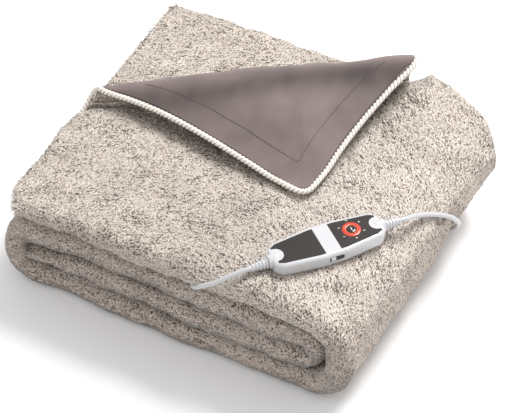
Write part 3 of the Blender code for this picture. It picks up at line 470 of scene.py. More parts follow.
@dataclass(frozen=True)
class BlanketForm:
    """The folded blanket's form: the same formulas as the solid's, on finer grids."""

    depth: float = 0.420
    narrowing: float = 0.026
    flare_width: float = 0.014
    tuck_depth: float = 0.016
    tuck_place: tuple[float, float, float, float] = (0.235, 0.050, 0.078, 0.035)
    wrap_power: float = 2.4
    top: Layer = Layer(0.1305, 0.0360, 0.0000)
    second: Layer = Layer(0.0915, 0.0350, 0.0020)
    third: Layer = Layer(0.0530, 0.0320, 0.0035)
    bottom: Layer = Layer(0.0165, 0.0330, 0.0015)
    top_end: Layer = Layer(0.1275, 0.0250, 0.0000)
    top_taper: float = 0.12
    left_rise: float = 0.007
    outer_wrap: Wrap = Wrap(0.3980, 0.0520, 0.0320)
    left_wrap: Wrap = Wrap(0.0415, 0.0330, 0.0310)
    inner_wrap: Wrap = Wrap(0.3950, 0.0210, 0.0300)
    top_start: float = 0.001
    third_end: float = 0.031
    back_inset: tuple[float, ...] = (0.0130, 0.0075, 0.0070, 0.0150, 0.0050, 0.0, 0.0005, 0.0050, 0.0140)
    back_height: tuple[float, ...] = (1.00, 0.93, 0.55, 0.38, 0.20, -0.15, -0.50, -0.85, -1.00)
    sheet: float = 0.0100
    lining: float = 0.0020
    ridge_left: tuple[float, float] = (0.000, 0.197)
    ridge_right: tuple[float, float] = (0.377, 0.406)
    tip_along: float = 0.2692
    tip_ahead: float = 0.1888
    tip_radius: float = 0.013
    left_bow: float = 0.014
    right_bow: float = 0.0155
    edge_lift: float = 0.012
    under_gap: float = 0.0020
    sheet_drop: float = 0.0125
    hump_height: float = 0.035
    hump_place: tuple[float, float] = (0.366, 0.412)
    hump_spread: tuple[float, float] = (0.050, 0.062)
    piping_diameter: float = 0.0070
    piping_depth: float = 0.0034
    piping_rise: tuple[float, float, float] = (0.0040, 0.1800, 0.1280)

    def ridge(self) -> tuple[Array, float, Array, Array]:
        """Left end and length of the corner's fold, and unit vectors along it and ahead of it."""
        start = np.array(self.ridge_left)
        along = np.array(self.ridge_right) - start
        length = float(np.linalg.norm(along))
        along = along / length
        return start, length, along, np.array([along[1], -along[0]])

    def curl_lift(self, a: Array) -> Array:
        """How far the fold stands above a flat corner: a low arch, highest to the right."""
        u = np.clip(a / self.ridge()[1], 0.0, 1.0)
        return 0.003 + 0.008 * u + 0.026 * np.sin(math.pi * u**1.5)

    def curl_radius(self, a: Array) -> Array:
        """Half of the height from the sheet below the fold to its top."""
        return (self.sheet + self.under_gap + self.sheet_drop - 0.0005 + self.curl_lift(a)) / 2.0

    def curl_axis(self, a: Array) -> Array:
        """How far ahead of the fold's line its axis runs."""
        return 0.72 * self.curl_radius(a)

    def top_middle(self, x: Array) -> Array:
        """Height of the top layer's middle at x."""
        u = smooth(x / self.top_taper)
        return self.top_end.middle + (self.top.middle - self.top_end.middle) * u

    def top_thickness(self, x: Array) -> Array:
        """Thickness of the top layer at x."""
        u = smooth(x / self.top_taper)
        return self.top_end.thickness + (self.top.thickness - self.top_end.thickness) * u

    def hump(self, x: Array, y: Array) -> Array:
        """How far the top sheet is pulled up: a bell at the fold's end, and a little at the left."""
        across = (x - self.hump_place[0]) / self.hump_spread[0]
        back = (y - self.hump_place[1]) / self.hump_spread[1]
        at_left = self.left_rise * (1.0 - smooth(x / self.top_taper)) * smooth(y / 0.30)
        return self.hump_height * np.exp(-0.5 * (across**2 + back**2)) + at_left

    def top_surface(self, x: Array, y: Array) -> Array:
        """Height of the top layer's upper side in front of the fold."""
        return self.top_middle(x) + self.top_thickness(x) / 2.0 + self.hump(x, y)

    def flare(self, x: Array, y: Array) -> Array:
        """How far the strip leans out to the right at (x, y)."""
        return self.flare_width * (y / self.depth) * np.clip(x / self.outer_wrap.centre, 0.0, 1.2)

    def tuck(self, x: Array, y: Array, z: Array) -> Array:
        """How far the rolled end is drawn in where the cord goes down."""
        at_y, run_y, at_z, run_z = self.tuck_place
        at_end = smooth((x - self.outer_wrap.centre) / self.outer_wrap.reach)
        return self.tuck_depth * at_end * smooth((y - at_y) / run_y) * smooth((at_z - z) / run_z)

    def surface_change(self, x: Array, y: Array) -> Array:
        """How far the strip's upper side stands off its even thickness: hump, and step at the fold."""
        start, length, along, ahead = self.ridge()
        a = (x - start[0]) * along[0] + (y - start[1]) * along[1]
        b = (x - start[0]) * ahead[0] + (y - start[1]) * ahead[1]
        axis = self.curl_axis(a)
        past_end = smooth((a - length + 0.012) / 0.016)
        in_front = np.maximum(smooth((b - axis - 0.001) / 0.015), past_end)
        fade = np.maximum(smooth((b - axis + 0.045) / 0.045), past_end)
        return self.hump(x, y) * fade - self.sheet_drop * (1.0 - in_front)

    def rolled(self, wrap: Wrap, first: Layer, second: Layer, side: float, steps: int) -> Array:
        """Middle line of a rolled end: half a superellipse from one layer's height to another's.

        Args:
            wrap: the rolled end.
            first: the layer that it leaves.
            second: the layer that it reaches.
            side: +1 to the right, -1 to the left.
            steps: number of stations.

        Returns:
            Rows of x, z, thickness and setback.
        """
        upper, lower = max(first.middle, second.middle), min(first.middle, second.middle)
        share = np.arange(1, steps + 1) / (steps + 1.0)
        turn = math.pi * (share if first.middle > second.middle else share[::-1])
        half = (upper - lower) / 2.0
        power = 2.0 / self.wrap_power
        x = wrap.centre + side * wrap.reach * np.abs(np.sin(turn)) ** power
        z = lower + half + half * np.sign(np.cos(turn)) * np.abs(np.cos(turn)) ** power
        even = first.thickness + (second.thickness - first.thickness) * share
        thick = even + (wrap.thickness - even) * np.sin(math.pi * share)
        setback = first.setback + (second.setback - first.setback) * share
        return np.stack([x, z, thick, setback], 1)

    def straight(self, x0: float, x1: float, layer: Layer, count: int) -> Array:
        """Middle line of a level stretch, as rows of x, z, thickness and setback."""
        x = np.linspace(x0, x1, count)
        if layer == self.top:
            return np.stack([x, self.top_middle(x), self.top_thickness(x), 0.0 * x], 1)
        even = np.ones_like(x)
        return np.stack([x, layer.middle * even, layer.thickness * even, layer.setback * even], 1)

    def middle_line(self, per: float = 1.0) -> Array:
        """Stations along the whole roll, from the top layer's left end."""

        def n(count: int) -> int:
            """The number of stations, at least six."""
            return max(int(count * per), 6)

        outer, left, inner = self.outer_wrap, self.left_wrap, self.inner_wrap
        return np.concatenate([
            self.straight(self.top_start, outer.centre, self.top, n(100)),
            self.rolled(outer, self.top, self.bottom, 1.0, n(48)),
            self.straight(outer.centre, left.centre, self.bottom, n(40)),
            self.rolled(left, self.bottom, self.second, -1.0, n(34)),
            self.straight(left.centre, inner.centre, self.second, n(40)),
            self.rolled(inner, self.second, self.third, 1.0, n(14)),
            self.straight(inner.centre, self.third_end, self.third, n(36)),
        ])

    def tip_circle(self, inset: float) -> tuple[float, float, float, float, float]:
        """Centre (along, ahead), radius and edge angles of the rounding at the corner's tip."""
        length = self.ridge()[1]
        left = math.atan2(self.tip_ahead, self.tip_along)
        right = math.atan2(self.tip_ahead, length - self.tip_along)
        radius = self.tip_radius - inset
        deep = inset + radius
        spread = length - deep / math.sin(left) - deep / math.sin(right)
        b = spread / (1.0 / math.tan(left) + 1.0 / math.tan(right))
        return b / math.tan(left) + deep / math.sin(left), b, radius, left, right

    def arch(self, b: Array, skew: float) -> Array:
        """Goes from 0 at the fold over 1 to 0 where the rounding of the tip begins."""
        share = np.clip(b / (self.tip_ahead - 1.7 * self.tip_radius), 0.0, 1.0)
        return np.sin(math.pi * share**skew)

    def edge_limits(self, b: Array, inset: float) -> tuple[Array, Array]:
        """Where the corner's two bowed edges cross the line b ahead of the fold."""
        _, _, _, left_angle, right_angle = self.tip_circle(inset)
        length = self.ridge()[1]
        left = b / math.tan(left_angle) + inset / math.sin(left_angle) + self.left_bow * self.arch(b, 0.6)
        right = length - b / math.tan(right_angle) - inset / math.sin(right_angle)
        return left, right - self.right_bow * self.arch(b, 0.9)

    def corner_height(self, a: Array, b: Array) -> Array:
        """Height of the turned corner's upper side, at a along and b ahead of the fold."""
        start, length, along, ahead = self.ridge()
        x = start[0] + a * along[0] + b * ahead[0]
        y = start[1] + a * along[1] + b * ahead[1]
        axis = self.curl_axis(a)
        to_left = a * self.tip_ahead / self.tip_along
        to_right = (length - a) * self.tip_ahead / (length - self.tip_along)
        edge = np.maximum(np.minimum(to_left, to_right), axis + 0.004)
        share = smooth((b - axis) / (edge - axis))
        lift = self.curl_lift(a) * (1.0 - share) + self.edge_lift * self.arch(b, 0.75)
        return self.top_surface(x, y) + self.under_gap + self.sheet + lift

    def corner_point(self, a: Array, b: Array, depth: float) -> Array:
        """Points of the flat part of the corner, depth below its upper side."""
        start, _, along, ahead = self.ridge()
        place = start + a[..., None] * along + b[..., None] * ahead
        return np.concatenate([place, (self.corner_height(a, b) - depth)[..., None]], -1)

    def curl_point(self, a: Array, turn: Array, depth: float) -> Array:
        """Points of the fold itself, at an angle round its axis: 90 degrees is its top."""
        start, _, along, ahead = self.ridge()
        axis, radius = self.curl_axis(a), self.curl_radius(a)
        top = self.corner_height(a, axis)
        reach = radius - depth
        b = axis - reach * np.cos(turn)
        place = start + a[..., None] * along + b[..., None] * ahead
        return np.concatenate([place, (top - radius + reach * np.sin(turn))[..., None]], -1)

    def curl_limits(self, turn: Array, inset: float) -> tuple[Array, Array]:
        """Ends of the fold at an angle round it: the sheet's edges cross it on a slant."""
        low = (math.pi / 2.0 - turn) / math.pi
        left = max(float(self.edge_limits(self.curl_axis(0.02), inset)[0]), 0.0)
        right = self.edge_limits(self.curl_axis(self.ridge()[1] - 0.02), inset)[1]
        return left - 0.020 * low, right - 0.004 * low

    def corner_grid(self, depth: float, inset: float, curl_rows: int = 26, flat_rows: int = 74,
                    columns: int = 120, lowest: float = -62.0) -> Array:
        """Grid of points over the fold and the flat part of the corner.

        Each row runs between the sheet's two edges: first round the fold, by angle, and then
        ahead of it, by distance, down to the rounding of the tip.

        Args:
            depth: distance below the sheet's outer side.
            inset: distance in from its edges.
            curl_rows: rows round the fold.
            flat_rows: rows ahead of it.
            columns: points in a row.
            lowest: first angle round the fold, in degrees.

        Returns:
            (rows, columns, 3) points.
        """
        share = np.linspace(0.0, 1.0, columns)
        turn = np.radians(np.linspace(lowest, 90.0, curl_rows))[:, None]
        left, right = self.curl_limits(turn, inset)
        curl = self.curl_point(left + share * (right - left), turn, depth)
        tip_a, tip_b, radius, left_angle, right_angle = self.tip_circle(inset)
        last = tip_b + radius * math.cos(0.10)
        b = np.linspace(float(self.curl_axis(0.2)), last, flat_rows + 1)[1:, None]
        left, right = self.edge_limits(b, inset)
        half = np.sqrt(np.maximum(radius**2 - (b - tip_b) ** 2, 0.0))
        left = np.where(b > tip_b + radius * math.cos(left_angle), tip_a - half, left)
        right = np.where(b > tip_b + radius * math.cos(right_angle), tip_a + half, right)
        a = left + share * (right - left)
        flat = self.corner_point(a, np.broadcast_to(b, a.shape), depth)
        return np.concatenate([curl, flat])

    def covered(self, x: Array, y: Array, rim: float) -> Array:
        """Goes from 0 at the corner's outline to 1 at a distance of rim inside it, seen from above."""
        start, length, along, ahead = self.ridge()
        a = (x - start[0]) * along[0] + (y - start[1]) * along[1]
        b = (x - start[0]) * ahead[0] + (y - start[1]) * ahead[1]
        left = math.atan2(self.tip_ahead, self.tip_along)
        right = math.atan2(self.tip_ahead, length - self.tip_along)
        inside_left = a * math.sin(left) - b * math.cos(left) - self.left_bow
        inside_right = (length - a) * math.sin(right) - b * math.cos(right) - self.right_bow
        inside = np.minimum(np.minimum(inside_left, inside_right), b + 0.004)
        return smooth(inside / rim)

    def piping_line(self, step: float) -> Array:
        """The piping's centre line: up the left end, round the corner's two edges, and down behind."""
        middle = self.piping_depth
        start = np.array([(0.0085, y, self.top_end.middle - 0.0110) for y in np.linspace(0.030, 0.150, 5)])
        tip_a, tip_b, radius, left_angle, right_angle = self.tip_circle(0.0)
        turn = np.radians(np.array([-40.0, 0.0, 30.0, 60.0]))
        up = self.curl_point(self.curl_limits(turn, 0.0)[0], turn, middle)
        b = np.linspace(self.curl_axis(0.02) + 0.004, tip_b + radius * math.cos(left_angle), 9)
        left = self.corner_point(self.edge_limits(b, 0.0)[0], b, middle)
        round_tip = np.linspace(-left_angle, right_angle, 6)[1:-1]
        tip = self.corner_point(tip_a + radius * np.sin(round_tip), tip_b + radius * np.cos(round_tip),
                                middle)
        b = np.linspace(tip_b + radius * math.cos(right_angle), self.curl_axis(0.4) + 0.004, 7)
        right = self.corner_point(self.edge_limits(b, 0.0)[1], b, middle)
        turn = np.radians(np.array([60.0, 15.0, -30.0]))
        down = self.curl_point(self.curl_limits(turn, 0.0)[1], turn, middle)
        return spline_through(np.concatenate([start, [self.piping_rise], up, left, tip, right, down]), step)


class Side(Enum):
    """Which part of the strip's section a column of its grid belongs to."""

    FRONT = 0
    UPPER = 1
    BACK = 2
    UNDER = 3


@dataclass
class Strip:
    """The folded and rolled strip, as one closed surface of two parameters: run and section."""

    form: BlanketForm
    front_columns: int = 16
    upper_columns: int = 84
    back_columns: int = 18
    under_columns: int = 8
    grid: Array = field(default=None, repr=False)
    sides: Array = field(default=None, repr=False)
    run: Array = field(default=None, repr=False)

    def shape(self) -> Array:
        """Works out the whole surface.

        A station gives the place of the middle line and its normal.  The section goes round
        the front fold (half an ellipse), over the upper side, down the back edge's profile and
        back underneath.  Point = middle + normal * (height * half thickness + lift).

        Returns:
            (stations, section, 3) points.
        """
        f = self.form
        line = f.middle_line()
        x, z, thick, setback = line.T
        tangent = unit(np.gradient(line[:, :2], axis=0))
        normal = np.stack([-tangent[:, 1], tangent[:, 0]], 1)
        self.run = np.concatenate([[0.0], np.cumsum(np.linalg.norm(np.diff(line[:, :2], axis=0), axis=1))])
        run = self.run
        half = thick / 2.0
        wave = 0.0016 * np.sin(run * 23.0) + 0.0011 * np.sin(run * 57.0 + 1.3)
        y_front = setback + wave
        y_back = f.depth - f.narrowing * smooth((run - 0.28) / 0.22)

        turn = np.linspace(-math.pi / 2, math.pi / 2, self.front_columns)
        front_y = y_front[:, None] + half[:, None] * (1.0 - np.cos(turn))
        at = np.linspace(0.0, len(f.back_inset) - 1.0, self.back_columns)
        inset = np.interp(at, range(len(f.back_inset)), f.back_inset)
        height = np.interp(at, range(len(f.back_inset)), f.back_height)
        share = np.linspace(0.0, 1.0, self.upper_columns + 2)[1:-1]
        near, far = (y_front + half)[:, None], (y_back - f.back_inset[0])[:, None]
        upper_y = near + share * (far - near)
        back_y = y_back[:, None] - inset
        share = np.linspace(0.0, 1.0, self.under_columns + 2)[1:-1]
        far = (y_back - f.back_inset[-1])[:, None]
        under_y = far + share * (near - far)
        y = np.concatenate([front_y, upper_y, back_y, under_y], 1)
        h = np.concatenate([np.sin(turn), np.ones(self.upper_columns), height, -np.ones(self.under_columns)])
        self.sides = np.repeat([0, 1, 2, 3], [self.front_columns, self.upper_columns, self.back_columns,
                                              self.under_columns])

        from_start = run
        from_end = run[-1] - run
        shrink = np.interp(from_start, [0.0, 0.010, 0.0265, 0.053], [0.45, 0.70, 0.88, 1.0])
        shrink = np.minimum(shrink, np.interp(from_end, [0.0, 0.0455, 0.091], [0.45, 0.85, 1.0]))
        h = h[None, :] * shrink[:, None]
        on_top_x = (run + f.top_start)[:, None] + 0.0 * y
        lift = f.surface_change(on_top_x + f.flare(on_top_x, y), y) * ((h + 1.0) / 2.0) ** 2
        on_top = 1.0 - smooth((run - f.outer_wrap.centre - 0.05) / 0.10)
        reach = h * half[:, None] + lift * on_top[:, None]
        px = x[:, None] + normal[:, :1] * reach
        pz = z[:, None] + normal[:, 1:] * reach
        px = px + f.flare(px, y)
        px = px - f.tuck(px, y, pz)
        pz = np.maximum(pz, 0.0)
        undercut = np.interp(from_start, [0.0, 0.0265, 0.053, 0.075], [0.010, 0.007, 0.003, 0.0])[:, None]
        rounding = np.interp(from_start, [0.0, 0.0265, 0.053, 0.075], [0.014, 0.010, 0.005, 0.0])[:, None]
        px = px + undercut * smooth((f.top_end.middle + 0.004 - pz) / 0.012)
        px = px + rounding * (1.0 - smooth(y / 0.035))
        grid = np.stack([px, y, pz], -1)
        self.grid = self.ripple(grid)
        return self.grid

    def ripple(self, grid: Array) -> Array:
        """Moves the surface along its normals by soft waves, less where a layer touches another."""
        normals = self.normals(grid)
        wave = 0.0018 * soft_noise(grid, 0.055, 11) + 0.0009 * soft_noise(grid, 0.020, 12)
        wave = wave + 0.0006 * soft_noise(grid, 0.009, 13)
        free = np.where(self.sides == Side.UNDER.value, 0.15, 1.0)[None, :]
        on_floor = smooth(grid[..., 2] / 0.012)
        on_top = smooth((grid[..., 2] - 0.125) / 0.01)
        hidden = self.form.covered(grid[..., 0], grid[..., 1], 0.016) * on_top
        lift = wave * free * on_floor * (1.0 - hidden) - 0.0008 - 0.0035 * hidden
        grid = grid + normals * lift[..., None]
        grid[..., 2] = np.maximum(grid[..., 2], 0.0)
        return grid

    def normals(self, grid: Array) -> Array:
        """Outward normals; the section closes on itself, so its ends are neighbours."""
        across = (np.roll(grid, -1, 1) - np.roll(grid, 1, 1)) / 2.0
        return unit(np.cross(across, np.gradient(grid, axis=0)))

    def build(self) -> bpy.types.Object:
        """Makes the ground surface that the tufts stand on."""
        grid = self.shape()
        rows, columns = grid.shape[:2]
        obj = new_piece("blanket_fur_ground", grid, capped_faces(rows, columns), GROUND.make())
        face_outwards(obj)
        return obj


# ---- the pile --------------------------------------------------------------------------------


@dataclass(frozen=True)
class PileLook:
    """How the fur's tufts look: sizes in metres, colours from root to tip."""

    spacing_area: float = 2.75e-6
    length: tuple[float, float] = (0.0060, 0.0105)
    width: tuple[float, float] = (0.0009, 0.0015)
    rise: tuple[float, float] = (14.0, 38.0)
    tousled: float = 0.14
    tousled_rise: tuple[float, float] = (40.0, 75.0)
    cream: tuple[float, float, float] = (0.93, 0.855, 0.775)
    beige: tuple[float, float, float] = (0.58, 0.50, 0.43)
    brown: tuple[float, float, float] = (0.070, 0.052, 0.042)
    shade: tuple[float, float, float] = (0.78, 0.735, 0.73)
    streak_size: tuple[float, float] = (0.0150, 0.0024)
    streak_turns: tuple[float, ...] = (34.0, 22.0, 8.0, -14.0, -40.0, -62.0)


@dataclass
class Pile:
    """Very many small closed tufts on a grid surface, each a slim leaning pyramid."""

    form: BlanketForm
    look: PileLook
    keep_clear: list[tuple[Array, float]] = field(default_factory=list)
    seed: int = 7

    def sample(self, grid: Array, normals: Array, wanted: Array,
               rng: np.random.Generator) -> tuple[Array, Array]:
        """Draws even random places on the wanted cells of a grid.

        Each cell gets a share of the draws in proportion to its area; a place inside it is
        the two-way average of its four corners.

        Args:
            grid: (rows, columns, 3) points.
            normals: the grid's normals.
            wanted: (rows - 1, columns - 1) weights of the cells.
            rng: the source of chance.

        Returns:
            Places and normals.
        """
        p00, p10, p01, p11 = grid[:-1, :-1], grid[1:, :-1], grid[:-1, 1:], grid[1:, 1:]
        area = np.linalg.norm(np.cross(p11 - p00, p01 - p10), axis=-1) / 2.0 * wanted
        count = int(area.sum() / self.look.spacing_area)
        steps = np.cumsum(area.ravel())
        cell = np.searchsorted(steps, (np.arange(count) + rng.uniform(size=count)) / count * steps[-1])
        i, j = np.unravel_index(np.minimum(cell, area.size - 1), area.shape)
        u, v = rng.uniform(size=(2, count, 1))

        def blend(values: Array) -> Array:
            """The two-way average of each cell's corner values at (u, v)."""
            low = values[i, j] * (1 - u) + values[i + 1, j] * u
            high = values[i, j + 1] * (1 - u) + values[i + 1, j + 1] * u
            return low * (1 - v) + high * v

        return blend(grid), unit(blend(normals))

    @staticmethod
    def lie(place: Array) -> Array:
        """The pile's lie in degrees: level at the left and behind, slanting to the right and the front."""
        slant = smooth((place[:, 0] - 0.20) / 0.20) * (1.0 - 0.35 * smooth((place[:, 1] - 0.20) / 0.20))
        swirl = 15.0 * soft_noise(place, 0.12, 21) + 8.0 * soft_noise(place, 0.04, 22)
        return 26.0 - 70.0 * slant + swirl

    def streaks(self, place: Array, seed: int, scale: float) -> Array:
        """Streaky noise along the pile's lie: noises of fixed directions, blended by the lie.

        Args:
            place: (n, 3) places.
            seed: chooses the noises.
            scale: scales the streaks' size.

        Returns:
            Values of about -1 to 1.
        """
        turns = np.array(self.look.streak_turns)
        long, thin = self.look.streak_size
        gap = np.abs(self.lie(place)[:, None] - turns[None])
        weight = np.exp(-0.5 * (gap / 7.0) ** 2) + 1e-6
        weight /= np.sqrt((weight**2).sum(1, keepdims=True))
        ways = [(math.cos(math.radians(t)), math.sin(math.radians(t)), 0.0) for t in turns]
        noises = [streak_noise(place, way, long * scale, thin * scale, seed + k)
                  for k, way in enumerate(ways)]
        return (np.stack(noises, 1) * weight).sum(1)

    def flow(self, place: Array, normal: Array, rng: np.random.Generator) -> Array:
        """Which way the tufts lie: mostly along the strip, swirled, and downwards on upright sides."""
        turn = np.radians(self.lie(place)) + rng.normal(0.0, 0.30, len(place))
        turn = turn + math.pi * (rng.uniform(size=len(place)) < 0.9 * smooth((0.34 - place[:, 0]) / 0.16))
        upright = 1.0 - np.abs(normal[:, 2])
        way = np.stack([np.cos(turn), np.sin(turn), -0.5 * upright + rng.normal(0.0, 0.25, len(place))], 1)
        return unit(way - normal * np.einsum("ij,ij->i", way, normal)[:, None])

    def colours(self, place: Array, normal: Array, rng: np.random.Generator) -> tuple[Array, Array]:
        """Root and tip colours: cream with clouds of beige and brown flecks, greyer on the front; painted shade
        on the lower layers' upper parts and under the corner's left edge, and painted light towards the back.
        """
        look = self.look
        count = len(place)
        value = 0.95 * self.streaks(place, 31, 1.0) + 0.40 * self.streaks(place, 51, 2.6)
        value = value + 0.40 * soft_noise(place, 0.050, 71) + rng.normal(0.0, 0.20, count) - 0.25
        # painted light: towards the back the top's pile gets fewer dark flecks, and further down a slightly
        # lighter colour, as if more light fell there
        behind = smooth((place[:, 1] - 0.16) / 0.18) * smooth((normal[:, 2] - 0.3) / 0.4)
        value = value - 0.22 * behind
        level = smooth((value + 0.10) / 0.60)[:, None]
        deep = smooth((value - 0.22) / 0.40)[:, None]
        cream, beige, brown = (np.array(c) for c in (look.cream, look.beige, look.brown))
        colour = cream * (1.0 - level) + beige * level
        colour = colour * (1.0 - deep) + brown * deep
        low = smooth((0.116 - place[:, 2]) / 0.012) * smooth((0.85 - normal[:, 0]) / 0.3)
        low = low * smooth((0.35 - place[:, 1]) / 0.05)
        # painted shade: the upper part of each lower layer, under the overhang of the layer above, is pulled
        # most of the way to a dark even taupe
        upper = low * smooth((normal[:, 2] + 0.22) / 0.50)
        even = np.array(look.shade)
        colour = colour * (1.0 - low[:, None] * (1.0 - even))
        colour = colour + 0.80 * upper[:, None] * (0.36 * even - colour)
        # painted shadow of the turned corner's left edge on the pile
        colour *= 1.0 - 0.68 * self.shadow_under_edge(place)[:, None]
        colour *= (1.0 + 0.04 * soft_noise(place, 0.08, 33) + rng.normal(0.0, 0.05, count))[:, None]
        # painted light towards the back, as above
        colour *= (1.0 + 0.06 * behind)[:, None]
        root = colour * 0.80
        return np.clip(root, 0.0, 1.0), np.clip(colour, 0.0, 1.0)

    def shadow_under_edge(self, place: Array) -> Array:
        """Goes from 1 under the corner's left edge to 0 at 16 mm in front of it: the edge's painted shadow on
        the pile.
        """
        start, _, along, ahead = self.form.ridge()
        a = (place[:, :2] - start) @ along
        b = (place[:, :2] - start) @ ahead
        slope = math.atan2(self.form.tip_ahead, self.form.tip_along)
        bow = self.form.left_bow * self.form.arch(b, 0.6) * math.sin(slope)
        out = b * math.cos(slope) - a * math.sin(slope) + bow
        reach = 0.010 + 0.008 * np.clip(a / 0.12, 0.0, 1.0)
        near = (1.0 - smooth((out - 0.002) / reach)) * smooth((out + 0.015) / 0.008) * smooth(b / 0.010)
        fade = smooth((self.form.tip_ahead - b) / 0.05) * smooth((a + 0.01) / 0.03)
        return near * fade * (place[:, 2] > 0.120)

    def flattened(self, place: Array) -> Array:
        """How much of its rise a tuft keeps: it is pressed down under the cords and the unit."""
        keep = np.ones(len(place))
        for line, reach in self.keep_clear:
            near = np.full(len(place), 1.0)
            for part in np.array_split(np.arange(len(line)), max(len(line) // 64, 1)):
                away = np.linalg.norm(place[:, None] - line[part][None], axis=-1).min(1)
                near = np.minimum(near, away)
            keep = np.minimum(keep, 0.10 + 0.90 * smooth((near - reach) / 0.006))
        return keep

    def tufts(self, name: str, place: Array, normal: Array,
              rng: np.random.Generator) -> bpy.types.Object:
        """Makes one piece of tufts.

        A tuft is a pyramid: two base points to the sides, one above, and the tip at
        root + flow * length * cos(rise) + normal * length * sin(rise).

        Args:
            name: the piece's name.
            place: (n, 3) roots.
            normal: (n, 3) surface normals there.
            rng: the source of chance.

        Returns:
            The piece.
        """
        look = self.look
        count = len(place)
        flow = self.flow(place, normal, rng)
        keep = self.flattened(place)
        length = rng.uniform(*look.length, count)[:, None]
        width = rng.uniform(*look.width, count)[:, None]
        angle = np.where(rng.uniform(size=count) < look.tousled, rng.uniform(*look.tousled_rise, count),
                         rng.uniform(*look.rise, count))
        rise = np.radians(angle * keep)[:, None]
        side = np.cross(flow, normal)
        root = place - normal * 0.0007
        tip = place + flow * length * np.cos(rise) + normal * length * np.sin(rise)
        points = np.stack([root - side * width / 2, root + side * width / 2,
                           root + normal * width * 0.8, tip], 1)
        points[..., 2] = np.maximum(points[..., 2], 0.0002)
        first = np.arange(count)[:, None, None] * 4
        faces = (first + np.array([(0, 1, 2), (0, 3, 1), (1, 3, 2), (2, 3, 0)])[None]).reshape(-1, 3)
        obj = new_piece(name, points, faces, TUFT.make())
        root_colour, tip_colour = self.colours(place, normal, rng)
        colour = np.ones((count, 4, 4), np.float32)
        colour[:, :3, :3] = root_colour[:, None]
        colour[:, 3, :3] = tip_colour
        paint(obj, colour)
        return obj

    @staticmethod
    def start_cap(strip: Strip) -> tuple[Array, Array, Array]:
        """Grid, normals and weights of the strip's blunt start: its first section drawn together."""
        ring = np.concatenate([strip.grid[0], strip.grid[0, :1]])
        spine = ring.copy()
        spine[:, 2] = ring[:, 2].mean()
        share = np.array([0.0, 0.5, 0.95])[:, None, None]
        grid = ring[None] * (1.0 - share) + spine[None] * share
        normals = np.broadcast_to((-1.0, 0.0, 0.0), grid.shape)
        return grid, normals, np.ones((2, len(ring) - 1))

    def cover(self, strip: Strip, under_unit: Callable[[Array], Array]) -> list[bpy.types.Object]:
        """Covers every outer side of the strip, in a few pieces by where they are.

        Args:
            strip: the shaped strip.
            under_unit: says which places the control unit covers.

        Returns:
            The pieces of pile.
        """
        rng = np.random.default_rng(self.seed)
        grid = np.concatenate([strip.grid, strip.grid[:, :1]], 1)
        normals = strip.normals(strip.grid)
        normals = np.concatenate([normals, normals[:, :1]], 1)
        sides = np.broadcast_to(strip.sides, strip.grid.shape[:2])[:-1]
        middle = (grid[:-1, :-1] + grid[1:, 1:]) / 2.0
        facing = normals[:-1, :-1]
        outer = (sides == Side.FRONT.value) | (sides == Side.BACK.value)
        run = strip.run[:-1, None]
        on_top = (run < 0.46) & (sides == Side.UPPER.value)
        end = (run >= 0.39) & (run < 0.62) & (sides == Side.UPPER.value) & (facing[..., 0] > 0.05)
        left = (sides == Side.UPPER.value) & (facing[..., 0] < -0.25) & (middle[..., 0] < 0.045)
        wanted = (outer | on_top | end | left) & ~((facing[..., 2] < -0.6) & (middle[..., 2] < 0.02))
        place, normal = self.sample(grid, normals, wanted.astype(float), rng)
        cap, cap_normal = self.sample(*self.start_cap(strip), rng)
        place, normal = np.concatenate([place, cap]), np.concatenate([normal, cap_normal])
        clear = ~under_unit(place)
        clear &= (self.form.covered(place[:, 0], place[:, 1], 0.020) < 0.5) | (place[:, 2] < 0.125)
        place, normal = place[clear], normal[clear]
        region = np.where(normal[:, 2] > 0.55, 0, np.where(normal[:, 0] > 0.5, 1, np.where(
            normal[:, 1] > 0.3, 2, np.where(normal[:, 0] < -0.5, 3, 4))))
        names = ("pile_top", "pile_right_end", "pile_back", "pile_left_end", "pile_front")
        pieces = []
        for number, name in enumerate(names):
            chosen = np.flatnonzero(region == number)
            parts = max(int(math.ceil(len(chosen) / TUFTS_A_PIECE)), 1)
            order = np.argsort(place[chosen, 0], kind="stable")
            for part, some in enumerate(np.array_split(chosen[order], parts)):
                label = name if parts == 1 else f"{name}_{part + 1}"
                pieces.append(self.tufts(label, place[some], normal[some], rng))
                LOG.info("%s: %d tufts", label, len(some))
        return pieces


# ---- the turned corner -----------------------------------------------------------------------


